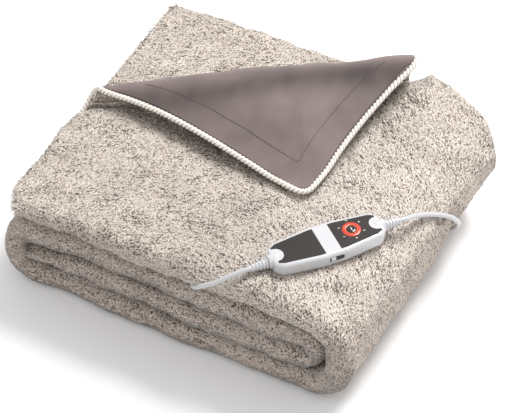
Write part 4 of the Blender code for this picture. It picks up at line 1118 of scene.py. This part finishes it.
@dataclass
class Corner:
    """The turned-back corner: fur side, lining with its stitched line, and piping."""

    form: BlanketForm
    stitch_inset: float = 0.0285
    stitch_length: float = 0.0032
    stitch_gap: float = 0.0011
    twist_pitch: float = 0.0112
    strands: int = 2
    strand_low: float = 0.60
    strand_swell: float = 0.46
    strand_roundness: float = 0.65
    piping_step: float = 0.0009

    def sheet_faces(self, rows: int, columns: int) -> Array:
        """Faces of a closed sheet between two grids of the same size."""
        top = grid_faces(rows, columns)
        low = top[:, ::-1] + rows * columns
        number = np.arange(rows * columns).reshape(rows, columns)
        rim = np.concatenate([number[:-1, 0], number[-1, :-1], number[:0:-1, -1], number[0, :0:-1]])
        after = np.roll(rim, -1)
        wall = np.stack([rim, rim + rows * columns, after + rows * columns, after], 1)
        return np.concatenate([top, low, wall])

    def wrinkled(self, grid: Array) -> Array:
        """Adds soft waves and the groove of the stitched line to the lining's outer side."""
        normals = grid_normals(grid)
        normals = normals * np.sign(normals[..., 2:].mean())
        return grid + normals * self.wave(grid)[..., None]

    @staticmethod
    def wave(place: Array) -> Array:
        """Height of the lining's soft waves: at most a little below its even surface."""
        waves = 0.0011 * soft_noise(place, 0.085, 41) + 0.0004 * soft_noise(place, 0.030, 42)
        return np.maximum(waves, -0.0007) - 0.0003

    def build_lining(self) -> tuple[bpy.types.Object, float]:
        """Makes the lining; returns it and the area of its outer side."""
        f = self.form
        inset = f.piping_diameter / 2.0 - 0.0006
        even = f.corner_grid(0.0, inset)
        outer = self.wrinkled(even)
        inner = f.corner_grid(f.lining, inset) + (outer - even)
        rows, columns = outer.shape[:2]
        both = np.concatenate([outer.reshape(-1, 3), inner.reshape(-1, 3)])
        obj = new_piece("corner_lining", both, self.sheet_faces(rows, columns), LINING.make())
        face_outwards(obj)
        paint(obj, self.lining_tone(both))
        cells = np.cross(outer[1:, 1:] - outer[:-1, :-1], outer[:-1, 1:] - outer[1:, :-1])
        return obj, float(np.linalg.norm(cells, axis=-1).sum() / 2.0)

    def lining_tone(self, place: Array) -> Array:
        """The velvet's colour: lighter on the crest (painted highlight) and in soft clouds, darker ahead of the
        crest (painted shade).
        """
        start, _, along, ahead = self.form.ridge()
        b = (place[:, :2] - start) @ ahead
        a = (place[:, :2] - start) @ along
        # painted highlight on the fold's crest, and painted shade in a band ahead of it
        crest = np.exp(-0.5 * ((b - 0.006) / 0.007) ** 2)
        hollow = np.exp(-0.5 * ((b - 0.038 - 0.006 * np.sin(a * 14.0)) / 0.014) ** 2)
        middle = smooth((b - 0.03) / 0.05)
        cloud = 0.17 * soft_noise(place, 0.09, 81) + 0.07 * soft_noise(place, 0.03, 82)
        value = 0.97 + 0.34 * crest - 0.42 * hollow + 0.14 * middle + cloud
        colour = np.ones((len(place), 4))
        colour[:, :3] = np.array(LINING.colour) * value[:, None]
        return colour

    def build_fur(self) -> bpy.types.Object:
        """Makes the corner's fur side, a closed sheet just under the lining."""
        f = self.form
        inset = f.piping_diameter / 2.0
        outer = f.corner_grid(f.lining + 0.0016, inset, 24, 60, 110, -88.0)
        inner = f.corner_grid(f.sheet, inset, 24, 60, 110, -88.0)
        rows, columns = outer.shape[:2]
        obj = new_piece("corner_fur", np.concatenate([outer.reshape(-1, 3), inner.reshape(-1, 3)]),
                        self.sheet_faces(rows, columns), GROUND.make())
        face_outwards(obj)
        return obj

    def build_piping(self) -> bpy.types.Object:
        """Makes the piping: a tube whose section has rounded strands that turn along it.

        Radius = R * (low + swell * |cos(strands * (angle - twist) / 2)|^roundness), darker where it is small:
        painted shade in the grooves between strands.
        """
        f = self.form
        line = f.piping_line(self.piping_step)
        sides = 28
        turn = np.linspace(0.0, 2.0 * math.pi, sides, endpoint=False)
        run = np.arange(len(line)) * self.piping_step
        phase = self.strands * (turn[None, :] - 2.0 * math.pi * run[:, None] / self.twist_pitch) / 2.0
        swell = np.abs(np.cos(phase)) ** self.strand_roundness
        radius = f.piping_diameter / 2.0 * (self.strand_low + self.strand_swell * swell)
        obj = tube_piece("corner_piping", line, radius, sides, PIPING.make())
        colour = np.ones((swell.size, 4), np.float32)
        # painted shade: darker in the grooves between the strands, where swell is small
        colour[:, :3] = np.array([0.80, 0.745, 0.68]) * (0.38 + 0.62 * smooth(swell.ravel() * 1.25))[:, None]
        paint(obj, colour)
        return obj

    def build_stitches(self) -> bpy.types.Object:
        """Makes the line of stitches that runs parallel to the corner's two edges."""
        f = self.form
        left_angle, right_angle = f.tip_circle(0.0)[3:]
        inset = self.stitch_inset
        length = f.ridge()[1]
        spread = length - inset / math.sin(left_angle) - inset / math.sin(right_angle)
        apex = spread / (1.0 / math.tan(left_angle) + 1.0 / math.tan(right_angle))
        lines = []
        for side in (0, 1):
            first = float(f.curl_axis(f.edge_limits(np.array(0.02), inset)[side]))
            b = np.linspace(first, apex, 300)
            limits = f.edge_limits(b, inset)
            keep = limits[0] < limits[1]
            flat = f.corner_point(limits[side][keep], b[keep], 0.0)
            lines.append(even_points(flat, self.stitch_length + self.stitch_gap))
        starts = np.concatenate([line[:-1] for line in lines])
        ways = np.concatenate([np.diff(line, axis=0) for line in lines])
        ways = unit(ways)
        across = unit(np.cross(ways, (0.0, 0.0, 1.0)))
        up = np.cross(across, ways)
        starts = starts + up * self.wave(starts)[:, None]
        at = np.array([0.0, 0.25, 0.75, 1.0]) * self.stitch_length
        wide = np.array([0.00015, 0.00050, 0.00050, 0.00015])
        high = np.array([0.0000, 0.00035, 0.00035, 0.0000])
        turn = np.linspace(0.0, 2.0 * math.pi, 6, endpoint=False)
        points = (starts[:, None, None] + ways[:, None, None] * at[:, None, None]
                  + across[:, None, None] * (wide[:, None] * np.cos(turn))[..., None]
                  + up[:, None, None] * (high[:, None] + wide[:, None] * np.sin(turn))[..., None])
        one = np.concatenate([grid_faces(4, 6, closed_columns=True), [[0, 5, 4, 1], [1, 4, 3, 2],
                                                                     [18, 19, 22, 23], [19, 20, 21, 22]]])
        faces = (np.arange(len(starts))[:, None, None] * 24 + one[None]).reshape(-1, 4)
        obj = new_piece("lining_stitches", points, faces, LINING_THREAD.make())
        face_outwards(obj)
        return obj


# ---- the control unit ------------------------------------------------------------------------


@dataclass
class ControlUnit:
    """The control unit, in its own frame: X along it, Y across, Z up, origin under its middle."""

    place: tuple[float, float, float] = (0.3865, 0.1010, 0.1492)
    turn: float = math.radians(51.5)
    dip: float = math.radians(0.4)
    length: float = 0.1440
    width: float = 0.0525
    end_width: float = 0.0400
    height: float = 0.0180
    corner: float = 0.0085
    edge: float = 0.0042
    neck_radius: float = 0.0088
    neck_reach: float = 0.0035
    neck_inner: float = 0.0560
    panel_inner: float = 0.0098
    panel_outer: float = 0.0665
    panel_rim: float = 0.0052
    notch_radius: float = 0.0098
    dial: tuple[float, float] = (0.0330, 0.0020)
    dial_radius: float = 0.0115
    button_radius: float = 0.0058
    switch: tuple[float, float] = (-0.0030, 0.0100)
    knob_half: float = 0.0030
    knob_roundness: float = 0.45
    panel_proud: float = 0.00035
    low_edge: float = 0.0030
    relief_profile: tuple = ((0.0, 0.0072), (0.007, 0.0066), (0.014, 0.0056), (0.0210, 0.0044))

    def matrix(self) -> Matrix:
        """Takes the unit's own frame to the blanket's corner."""
        turn = Matrix.Rotation(self.turn, 4, "Z") @ Matrix.Rotation(self.dip, 4, "Y")
        return Matrix.Translation(self.place) @ turn

    def covers(self, place: Array) -> Array:
        """Says which places lie under the unit: inside its plan, a little smaller."""
        inverse = np.array(self.matrix().inverted())
        own = place @ inverse[:3, :3].T + inverse[:3, 3]
        half = np.interp(np.abs(own[:, 0]), [0.0, 0.016, 0.0635, 0.071], [0.025, 0.025, 0.019, 0.010])
        return (np.abs(own[:, 0]) < 0.070) & (np.abs(own[:, 1]) < half - 0.0015) & (np.abs(own[:, 2]) < 0.02)

    @staticmethod
    def rounded(corners: Array, radius: float, steps: int) -> Array:
        """Rounds each corner of an outline with an arc of the given radius."""
        corners = np.asarray(corners, float)
        before = unit(np.roll(corners, 1, 0) - corners)
        after = unit(np.roll(corners, -1, 0) - corners)
        half = np.arccos(np.clip(np.einsum("ij,ij->i", before, after), -1, 1)) / 2.0
        centre = corners + unit(before + after) * (radius / np.sin(half))[:, None]
        start = corners + before * (radius / np.tan(half))[:, None] - centre
        sign = np.where(before[:, 0] * after[:, 1] - before[:, 1] * after[:, 0] < 0.0, 1.0, -1.0)
        angle = (sign * (math.pi - 2.0 * half))[:, None] * np.linspace(0.0, 1.0, steps)
        x = start[:, :1] * np.cos(angle) - start[:, 1:] * np.sin(angle)
        y = start[:, :1] * np.sin(angle) + start[:, 1:] * np.cos(angle)
        return (centre[:, None] + np.stack([x, y], -1)).reshape(-1, 2)

    def outline(self, inset: float) -> Array:
        """The housing seen from above, moved in by inset: widest in the middle, corners cut off."""
        end = self.length / 2.0 - inset
        shoulder = end - 0.0085
        wide = self.width / 2.0 - inset
        narrow = self.end_width / 2.0 - inset
        nose = narrow - 0.0085
        back = [(end, nose), (shoulder, narrow), (0.016, wide)]
        back += [(-x, y) for x, y in back[::-1]]
        return self.rounded(back + [(-x, -y) for x, y in back], max(self.corner - inset, 0.003), 9)

    def build_housing(self) -> bpy.types.Object:
        """Makes the housing: its outline carried up the wall and in over rounded edges."""
        turn = np.radians(np.linspace(0.0, 90.0, 9))
        inset = np.concatenate([[0.010], self.low_edge * (1.0 - np.sin(turn)),
                                self.edge * (1.0 - np.cos(turn)), [0.010]])
        level = np.concatenate([[0.0], self.low_edge * (1.0 - np.cos(turn)),
                                self.height - self.edge * (1.0 - np.sin(turn)), [self.height]])
        grid = np.stack([at_height(self.outline(i), z) for i, z in zip(inset, level)])
        obj = new_piece("unit_housing", grid, capped_faces(*grid.shape[:2]), WHITE.make(), self.matrix())
        face_outwards(obj)
        return obj

    def build_neck(self, side: float, name: str) -> bpy.types.Object:
        """Makes one neck: a round inner end and a barrel to just past the housing's end."""
        turn = np.radians(np.linspace(6.0, 90.0, 14))
        rows = np.column_stack([self.neck_inner + self.neck_radius * (1.0 - np.cos(turn)),
                                self.neck_radius * np.sin(turn)])
        end = self.length / 2.0 + self.neck_reach
        rows = np.concatenate([rows, [(end - 0.0012, self.neck_radius * 0.95),
                                      (end - 0.0003, self.neck_radius * 0.90),
                                      (end, self.neck_radius * 0.80)]])
        frame = self.matrix() @ Matrix.Translation((0.0, 0.0, self.height / 2.0 + 0.0010))
        if side < 0.0:
            frame = frame @ Matrix.Rotation(math.pi, 4, "Z")
        return turned_piece(name, rows, 40, WHITE.make(), frame)

    def panel_outline(self, side: float, inset: float) -> Array:
        """One dark panel: straight at the bare band, narrower outwards, a round notch at the neck."""
        inner = self.panel_inner + inset
        outer = self.panel_outer - inset
        wide = self.width / 2.0 - self.panel_rim - inset
        narrow = self.end_width / 2.0 - self.panel_rim + 0.0012 - inset
        notch = self.notch_radius + inset
        centre = self.neck_inner + 0.0095
        mouth = math.acos((outer - centre) / notch)
        angle = -mouth - (2.0 * math.pi - 2.0 * mouth) * np.linspace(0.0, 1.0, 31)
        front = [(inner, -wide), (0.016, -wide), (0.0600, -narrow), (outer, -narrow + 0.0035)]
        hollow = np.column_stack([centre + notch * np.cos(angle), notch * np.sin(angle)])
        back = [(x, -y) for x, y in front[::-1]]
        points = np.concatenate([front, hollow, back])
        return points * np.array([side, 1.0])

    def build_panel(self, side: float, name: str) -> bpy.types.Object:
        """Makes a dark panel with softened edges, standing a hair above the housing."""
        top = self.height + self.panel_proud
        steps = ((0.0, self.height - 0.001), (0.0, top - 0.0002), (0.0001, top - 0.00006), (0.0003, top))
        grid = np.stack([at_height(self.panel_outline(side, i), z) for i, z in steps])
        obj = new_piece(name, grid, capped_faces(*grid.shape[:2]), PANEL.make(), self.matrix(), flat=True)
        face_outwards(obj)
        return obj

    def at_dial(self, lift: float) -> Matrix:
        """A frame at the dial's centre whose X axis points up, for turned pieces."""
        up = Matrix.Rotation(-math.pi / 2.0, 4, "Y")
        return self.matrix() @ Matrix.Translation((*self.dial, self.height + lift)) @ up

    def build_ring(self) -> bpy.types.Object:
        """Makes the lit ring round the button, slightly crowned."""
        r0, r1 = self.button_radius + 0.0003, self.dial_radius
        rows = [(-0.0008, r0), (0.0004, r0), (0.0007, r0 + 0.0004), (0.0008, (r0 + r1) / 2),
                (0.0006, r1 - 0.0004), (0.0003, r1), (-0.0008, r1)]
        rows = np.array(rows)
        turn = np.linspace(0.0, 2.0 * math.pi, 72, endpoint=False)
        grid = turned_grid(rows, turn)
        faces = grid_faces(*grid.shape[:2], closed_rows=True, closed_columns=True)
        obj = new_piece("dial_ring_lens", grid, faces, RED.make(), self.at_dial(0.0))
        face_outwards(obj)
        return obj

    def bars(self, name: str, radius: Array, angle: Array, size: tuple[float, float], lift: float,
             finish: Finish) -> bpy.types.Object:
        """Makes small raised bars round the dial, long side outwards.

        Args:
            name: the piece's name.
            radius: distance of each bar's middle from the dial's centre.
            angle: its angle.
            size: length outwards and width.
            lift: height of its underside over the housing.
            finish: its finish.

        Returns:
            The piece.
        """
        out = np.stack([np.cos(angle), np.sin(angle), 0 * angle], 1)
        side = np.stack([-np.sin(angle), np.cos(angle), 0 * angle], 1)
        base = np.array([*self.dial, self.height + lift])
        u = np.array([-1, 1, 1, -1, -0.8, 0.8, 0.8, -0.8])[None, :, None] * size[0] / 2
        v = np.array([-1, -1, 1, 1, -0.7, -0.7, 0.7, 0.7])[None, :, None] * size[1] / 2
        w = np.array([0, 0, 0, 0, 1, 1, 1, 1])[None, :, None] * 0.0003
        up = np.array([0, 0, 1.0])
        points = base + out[:, None] * (radius[:, None, None] + u) + side[:, None] * v + w * up
        one = np.array([(0, 3, 2, 1), (4, 5, 6, 7), (0, 1, 5, 4), (1, 2, 6, 5), (2, 3, 7, 6), (3, 0, 4, 7)])
        faces = (np.arange(len(angle))[:, None, None] * 8 + one[None]).reshape(-1, 4)
        return new_piece(name, points, faces, finish.make(), self.matrix(), flat=True)

    def build_numbers(self) -> bpy.types.Object:
        """Makes the plain numbers 1 to 6 round the dial, as one mesh of text."""
        parts, faces, count = [], [], 0
        for k in range(6):
            curve = bpy.data.curves.new(f"number_{k + 1}", "FONT")
            curve.body = str(k + 1)
            curve.size = 0.0038
            curve.extrude = 0.00015
            curve.align_x, curve.align_y = "CENTER", "CENTER"
            text = bpy.data.objects.new(curve.name, curve)
            bpy.context.scene.collection.objects.link(text)
            mesh = bpy.data.meshes.new_from_object(text.evaluated_get(bpy.context.evaluated_depsgraph_get()))
            places = np.empty(len(mesh.vertices) * 3)
            mesh.vertices.foreach_get("co", places)
            angle = math.radians(210.0 - 60.0 * k)
            turn = Matrix.Rotation(-math.pi / 2.0, 3, "Z")
            places = places.reshape(-1, 3) @ np.array(turn).T
            spot = np.array([self.dial[0] + 0.0150 * math.cos(angle), self.dial[1] + 0.0150 * math.sin(angle),
                             self.height + 0.0005])
            parts.append(places + spot)
            faces += [[v + count for v in p.vertices] for p in mesh.polygons]
            count += len(places)
            bpy.data.objects.remove(text)
        return new_piece("dial_numbers", np.concatenate(parts), faces, MARK.make(), self.matrix(), flat=True)

    def build_button(self) -> tuple[bpy.types.Object, bpy.types.Object]:
        """Makes the centre button, a low dome, and the short bar on it."""
        r = self.button_radius - 0.0002
        rows = [(-0.0016, r), (0.0004, r), (0.0008, r - 0.0002), (0.0011, r - 0.0007),
                (0.0013, r * 0.6), (0.00135, r * 0.1)]
        dome = turned_piece("unit_button", np.array(rows), 48, BUTTON.make(), self.at_dial(0.0))
        bar = self.bars("unit_button_bar", np.array([0.0]), np.array([math.pi * 0.5]),
                        (0.0046, 0.0011), 0.00125, MARK)
        return dome, bar

    def build_slot(self) -> bpy.types.Object:
        """Makes the switch's slot in the side wall: a rounded frame with a sunk floor, dark as painted shade of
        the recess.
        """
        turn = np.linspace(0.0, 2.0 * math.pi, 48, endpoint=False)
        long, high = 0.0095, 0.0034

        def ring(scale: float, depth: float) -> Array:
            """A rounded oblong round the slot, scaled, and sunk by a depth."""
            x = self.switch[0] + 0.0050 + (long * scale) * squared_off(np.cos(turn), 0.5)
            z = self.switch[1] + (high * scale) * squared_off(np.sin(turn), 0.6)
            return np.column_stack([x, np.full(48, -self.width / 2.0 - depth), z])

        grid = np.stack([ring(1.0, -0.002), ring(1.0, 0.0002), ring(0.93, 0.0003), ring(0.86, 0.0001)])
        obj = new_piece("switch_slot", grid, capped_faces(4, 48), SLOT.make(), self.matrix())
        face_outwards(obj)
        return obj

    def build_knob(self) -> bpy.types.Object:
        """Makes the sliding knob: a rounded block with ribs across its face."""
        turn = np.linspace(0.0, 2.0 * math.pi, 40, endpoint=False)
        depth = np.array([0.0008, 0.0, -0.0010, -0.0017, -0.0019, -0.0019])
        scale = np.array([0.85, 1.0, 1.0, 0.90, 0.70, 0.15])
        x = squared_off(np.cos(turn), self.knob_roundness) * self.knob_half
        z = squared_off(np.sin(turn), self.knob_roundness) * self.knob_half
        rib = 0.0002 * np.cos(x * 2.0 * math.pi / 0.0015)
        rings = []
        for k, (d, s) in enumerate(zip(depth, scale)):
            wall = -self.width / 2.0 + d - 0.0002 - rib * (k > 2)
            rings.append(np.column_stack([self.switch[0] + x * s, wall, self.switch[1] + z * s]))
        grid = np.stack(rings)
        obj = new_piece("unit_switch_knob", grid, capped_faces(6, 40), WHITE.make(), self.matrix())
        face_outwards(obj)
        return obj

    def build_relief(self, side: float, name: str) -> bpy.types.Object:
        """Makes a strain relief: a tapered sleeve with five deep ribs."""
        x = np.linspace(0.0, 0.0210, 106)
        taper = np.interp(x, *zip(*self.relief_profile))
        rib = smooth((np.cos(2.0 * math.pi * (x - 0.0021) / 0.0042) + 0.15) / 0.5)
        radius = taper * 0.80 + taper * 0.20 * rib
        radius[-3:] *= np.array([0.96, 0.90, 0.80])
        reach = side * (self.length / 2.0 + self.neck_reach)
        frame = self.matrix() @ Matrix.Translation((reach, 0.0, self.height / 2.0))
        if side < 0.0:
            frame = frame @ Matrix.Rotation(math.pi, 4, "Z")
        return turned_piece(name, np.column_stack([x, radius]), 32, WHITE.make(), frame)


# ---- the cords -------------------------------------------------------------------------------


@dataclass
class Cords:
    """The two cords, the coil behind the blanket, and the plug."""

    unit: ControlUnit
    diameter: float = 0.0060
    coil_centre: tuple[float, float] = (0.2700, 0.4830)
    coil_outer: float = 0.0465
    coil_pitch: float = 0.0064
    lower_turns: float = 3.25
    upper_turns: float = 2.875
    coil_low: float = 0.0036
    coil_rise: float = 0.0062
    rise_starts: float = 0.35
    rise_turns: float = 0.5
    route_step: float = 0.003
    plug_place: tuple[float, float] = (0.1500, 0.4620)
    plug_size: tuple[float, float, float] = (0.0350, 0.0260, 0.0136)
    control_route: tuple = (
        (0.3162, 0.0150, 0.1560), (0.3070, 0.0078, 0.1515), (0.2980, 0.0016, 0.1455),
        (0.2890, -0.0028, 0.1400), (0.2790, -0.0052, 0.1338), (0.2700, -0.0048, 0.1262),
        (0.2620, 0.0010, 0.1180), (0.2550, 0.0120, 0.1122), (0.2440, 0.0330, 0.1108),
        (0.2300, 0.0600, 0.1108),
    )
    mains_route: tuple = (
        (0.4538, 0.1971, 0.1490), (0.4608, 0.2185, 0.1352), (0.4676, 0.2340, 0.1240),
        (0.4746, 0.2490, 0.1115), (0.4792, 0.2588, 0.1015), (0.4812, 0.2685, 0.0886),
        (0.4808, 0.2791, 0.0742), (0.4775, 0.2880, 0.0600), (0.4705, 0.2975, 0.0430),
        (0.4615, 0.3080, 0.0270), (0.4530, 0.3200, 0.0140), (0.4465, 0.3400, 0.0060),
        (0.4435, 0.3700, 0.0036), (0.4400, 0.4000, 0.0036), (0.4300, 0.4290, 0.0036),
        (0.4050, 0.4490, 0.0036), (0.3700, 0.4560, 0.0036), (0.3350, 0.4450, 0.0036),
        (0.3020, 0.4382, 0.0036),
    )

    def exit_points(self, side: float) -> Array:
        """The first two points of a cord: the strain relief's tip and a little beyond."""
        unit_ = self.unit
        reach = unit_.length / 2.0 + unit_.neck_reach + unit_.relief_profile[-1][0] + 0.0012
        frame = unit_.matrix()
        tip = frame @ Vector((side * (reach - 0.003), 0.0, unit_.height / 2.0))
        lead = frame @ Vector((side * (reach + 0.006), 0.0, unit_.height / 2.0 - 0.0004))
        return np.array([tip, lead])

    def control_line(self) -> Array:
        """Centre line of the cord into the blanket."""
        return spline_through(np.concatenate([self.exit_points(-1.0), self.control_route]), self.route_step)

    def coil_line(self) -> Array:
        """Centre line of the coil.

        A flat spiral goes inwards clockwise on the floor, rises by one diameter at its inner
        end, and goes outwards on top of it.  Radius falls and then grows by one pitch a turn.
        """
        turns = np.linspace(0.0, self.lower_turns + self.upper_turns, 400)
        angle = -math.pi / 2.0 - 2.0 * math.pi * turns
        inner = self.coil_outer - self.coil_pitch * self.lower_turns
        radius = np.where(turns < self.lower_turns, self.coil_outer - self.coil_pitch * turns,
                          inner + self.coil_pitch * np.maximum(turns - self.lower_turns - self.rise_starts, 0.0))
        rise = (turns - self.lower_turns + self.rise_starts) / self.rise_turns
        height = self.coil_low + self.coil_rise * smooth(rise)
        x = self.coil_centre[0] + radius * np.cos(angle)
        y = self.coil_centre[1] + radius * np.sin(angle)
        return np.column_stack([x, y, height])

    def mains_line(self) -> Array:
        """Centre line of the whole mains cord, from the unit to the plug."""
        coil = self.coil_line()
        leave = coil[-1]
        plug_end = (self.plug_place[0] + self.plug_size[0] / 2.0 + 0.022, self.plug_place[1],
                    self.plug_size[2] / 2.0)
        out = [(leave[0] - 0.0114, leave[1] + 0.0106, 0.0096), (leave[0] - 0.0234, leave[1] + 0.0160, 0.0084),
               (plug_end[0] + 0.0140, plug_end[1] + 0.0050, 0.0070), plug_end]
        lead_in = np.concatenate([self.exit_points(1.0), self.mains_route, coil[:1], coil[8:9]])
        first = spline_through(lead_in, self.route_step)
        first = first[: np.linalg.norm(first - coil[0], axis=1).argmin()]
        last = spline_through(np.concatenate([coil[-9:-8], leave[None], out]), self.route_step)
        last = last[np.linalg.norm(last - leave, axis=1).argmin() + 1:]
        return even_points(np.concatenate([first, coil, last]), self.route_step)

    def build_plug(self) -> list[bpy.types.Object]:
        """Makes the plug's body and tapered sleeve, pointing left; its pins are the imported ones."""
        length, width, height = self.plug_size
        turn = np.linspace(0.0, 2.0 * math.pi, 56, endpoint=False)
        at = np.concatenate([[0.0], np.linspace(0.02, 1.0, 30), [1.0]])
        half_w = width / 2.0 * np.interp(at, [0.0, 0.02, 0.45, 0.98, 1.0], [0.35, 0.55, 0.98, 1.0, 0.93])
        half_h = height / 2.0 * np.interp(at, [0.0, 0.02, 0.40, 0.98, 1.0], [0.50, 0.72, 0.98, 1.0, 0.90])
        x = self.plug_place[0] + length * (0.5 - at)
        cos, sin = np.cos(turn), np.sin(turn)
        grid = np.stack(np.broadcast_arrays(
            x[:, None], self.plug_place[1] + half_w[:, None] * squared_off(cos, 0.5),
            height / 2.0 + half_h[:, None] * squared_off(sin, 0.5)), -1)
        body = new_piece("mains_plug", grid, capped_faces(*grid.shape[:2]), WHITE.make())
        face_outwards(body)
        run = np.linspace(0.0, 0.026, 100)
        rib = smooth((np.cos(2.0 * math.pi * run / 0.0042) + 0.15) / 0.5)
        radius = np.interp(run, [0.0, 0.026], [0.0056, 0.0038]) * (0.84 + 0.16 * rib)
        start = Vector((self.plug_place[0] + length / 2.0 - 0.002, self.plug_place[1], height / 2.0))
        sleeve = turned_piece("mains_plug_sleeve", np.column_stack([run, radius]), 28, WHITE.make(),
                              Matrix.Translation(start))
        return [body, sleeve]


# ---- floor, lights and camera ----------------------------------------------------------------


@dataclass(frozen=True)
class Studio:
    """A pale floor, soft lights and the camera."""

    target: tuple[float, float, float] = (0.2416, 0.1989, 0.06)
    eye: tuple[float, float, float] = (1.2056, -1.6303, 2.2337)
    lens: float = 169.1
    sky: float = 0.78
    lamps: tuple = (
        ("key_light", (0.45, 1.25, 2.2), 0.9, 66.0),
        ("fill_light", (-0.8, -1.9, 1.6), 1.6, 8.0),
        ("side_light", (1.7, -0.2, 1.6), 1.2, 2.0),
    )

    def build(self) -> None:
        """Makes floor, lights, world and camera."""
        side = np.linspace(-6.0, 6.0, 13)
        x, y = np.meshgrid(side, side, indexing="ij")
        points = np.stack([x, y, 0.0 * x - 0.0001], -1)
        floor = new_piece("studio_floor", points, grid_faces(13, 13), FLOOR.make())
        scene = bpy.context.scene
        world = bpy.data.worlds.new("studio_world")
        scene.world = world
        world.use_nodes = True
        world.node_tree.nodes["Background"].inputs["Color"].default_value = (1.0, 1.0, 1.0, 1.0)
        world.node_tree.nodes["Background"].inputs["Strength"].default_value = self.sky
        scene.view_settings.view_transform = "Standard"
        for lamp in self.lamps:
            self.light(*lamp)
        camera = bpy.data.objects.new("camera", bpy.data.cameras.new("camera"))
        scene.collection.objects.link(camera)
        eye, target = Vector(self.eye) - Vector(FOOT_CENTRE), Vector(self.target) - Vector(FOOT_CENTRE)
        camera.location = eye
        camera.rotation_euler = (target - eye).to_track_quat("-Z", "Y").to_euler()
        camera.data.lens = self.lens
        camera.data.sensor_width = 36.0
        camera.data.clip_start, camera.data.clip_end = 0.1, 50.0
        scene.camera = camera

    @staticmethod
    def light(name: str, place: tuple[float, float, float], size: float, power: float) -> None:
        """Adds a square area light that faces the blanket."""
        data = bpy.data.lights.new(name, "AREA")
        data.shape, data.size, data.energy = "SQUARE", size, power
        obj = bpy.data.objects.new(name, data)
        bpy.context.scene.collection.objects.link(obj)
        obj.location = place
        obj.rotation_euler = (Vector((0.0, 0.0, 0.06)) - Vector(place)).to_track_quat("-Z", "Y").to_euler()


# ---- the whole blanket -----------------------------------------------------------------------


def rest(pieces: list[bpy.types.Object], body: str = "blanket") -> None:
    """Lets pieces ride on a body."""
    for piece in pieces:
        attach(piece, body)
        LOG.info("%s rides on %s, %d faces", piece.name, body, len(piece.data.polygons))


def build_blanket(form: BlanketForm, unit_: ControlUnit, cords: Cords) -> None:
    """Builds the strip, its pile, and the turned corner with lining and piping.

    Args:
        form: the fold's sizes.
        unit_: the control unit, which covers some of the pile.
        cords: the cords, which press the pile flat.
    """
    strip = Strip(form)
    ground = strip.build()
    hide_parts("fur_cloth")
    rest([ground])
    corner = Corner(form)
    rest([corner.build_fur()])
    lining, area = corner.build_lining()
    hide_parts("lining")
    rest([lining])
    rest([corner.build_stitches()])
    piping = corner.build_piping()
    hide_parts("piping")
    rest([piping])
    clear = [(cords.control_line()[::3], 0.0045), (cords.mains_line()[:120:3], 0.0045)]
    pile = Pile(form, PileLook(), clear)
    rest(pile.cover(strip, unit_.covers))


def build_unit(unit_: ControlUnit) -> None:
    """Builds the control unit and its moving button and switch.

    Args:
        unit_: the control unit's sizes and place.
    """
    housing = unit_.build_housing()
    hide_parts("housing")
    rest([housing, unit_.build_neck(1.0, "neck_right"), unit_.build_neck(-1.0, "neck_left")])
    for side, name in ((-1.0, "left"), (1.0, "right")):
        panel = unit_.build_panel(side, f"unit_panel_{name}")
        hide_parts(f"panel_{name}")
        rest([panel])
        relief = unit_.build_relief(side, f"unit_relief_{name}")
        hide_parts(f"strain_relief_{name}")
        rest([relief])
    ring = unit_.build_ring()
    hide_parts("dial_ring")
    turn = np.linspace(0.0, 2.0 * math.pi, DIAL_MARKS, endpoint=False)
    dots = unit_.bars("dial_dots", np.full(DIAL_MARKS, 0.0070), turn, (0.0010, 0.0010), 0.0006, ORANGE)
    ticks = unit_.bars("dial_ticks", np.full(DIAL_MARKS, 0.0096), turn + 0.13, (0.0024, 0.0005), 0.0005, ORANGE)
    rest([ring, dots, ticks])
    rest([unit_.build_numbers(), unit_.build_slot()])
    dome, bar = unit_.build_button()
    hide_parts("centre_button")
    rest([dome, bar], "button")
    knob = unit_.build_knob()
    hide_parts("side_switch")
    rest([knob], "switch")


def build_cords(cords: Cords, nodes: dict[str, bpy.types.Object]) -> None:
    """Builds the two cords and the plug.

    Args:
        cords: the cords' routes and sizes.
        nodes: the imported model's objects by name, for the plug's two pins.
    """
    line = cords.control_line()
    control = tube_piece("control_cord_tube", line, cords.diameter / 2.0, 20, CORD.make())
    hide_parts("control_cord")
    rest([control])
    line = cords.mains_line()
    LOG.info("mains cord is %.3f m long", line_length(line))
    mains = tube_piece("mains_cord_tube", line, cords.diameter / 2.0, 20, CORD.make())
    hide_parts("mains_cord", "mains_coil", "plug_cord")
    rest([mains])
    plug, sleeve = cords.build_plug()
    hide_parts("plug_body")
    rest([plug, sleeve])
    pins = [nodes["plug_pin_1"], nodes["plug_pin_2"]]
    for pin in pins:
        pin.data.materials.clear()
        pin.data.materials.append(METAL.make())


def main() -> None:
    """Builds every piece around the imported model, in order."""
    logging.basicConfig(level=logging.INFO, format="%(message)s")
    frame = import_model()
    Studio().build()
    form, unit_ = BlanketForm(), ControlUnit()
    cords = Cords(unit_)
    build_cords(cords, frame["nodes"])
    build_unit(unit_)
    build_blanket(form, unit_, cords)


if __name__ == "__main__":
    main()
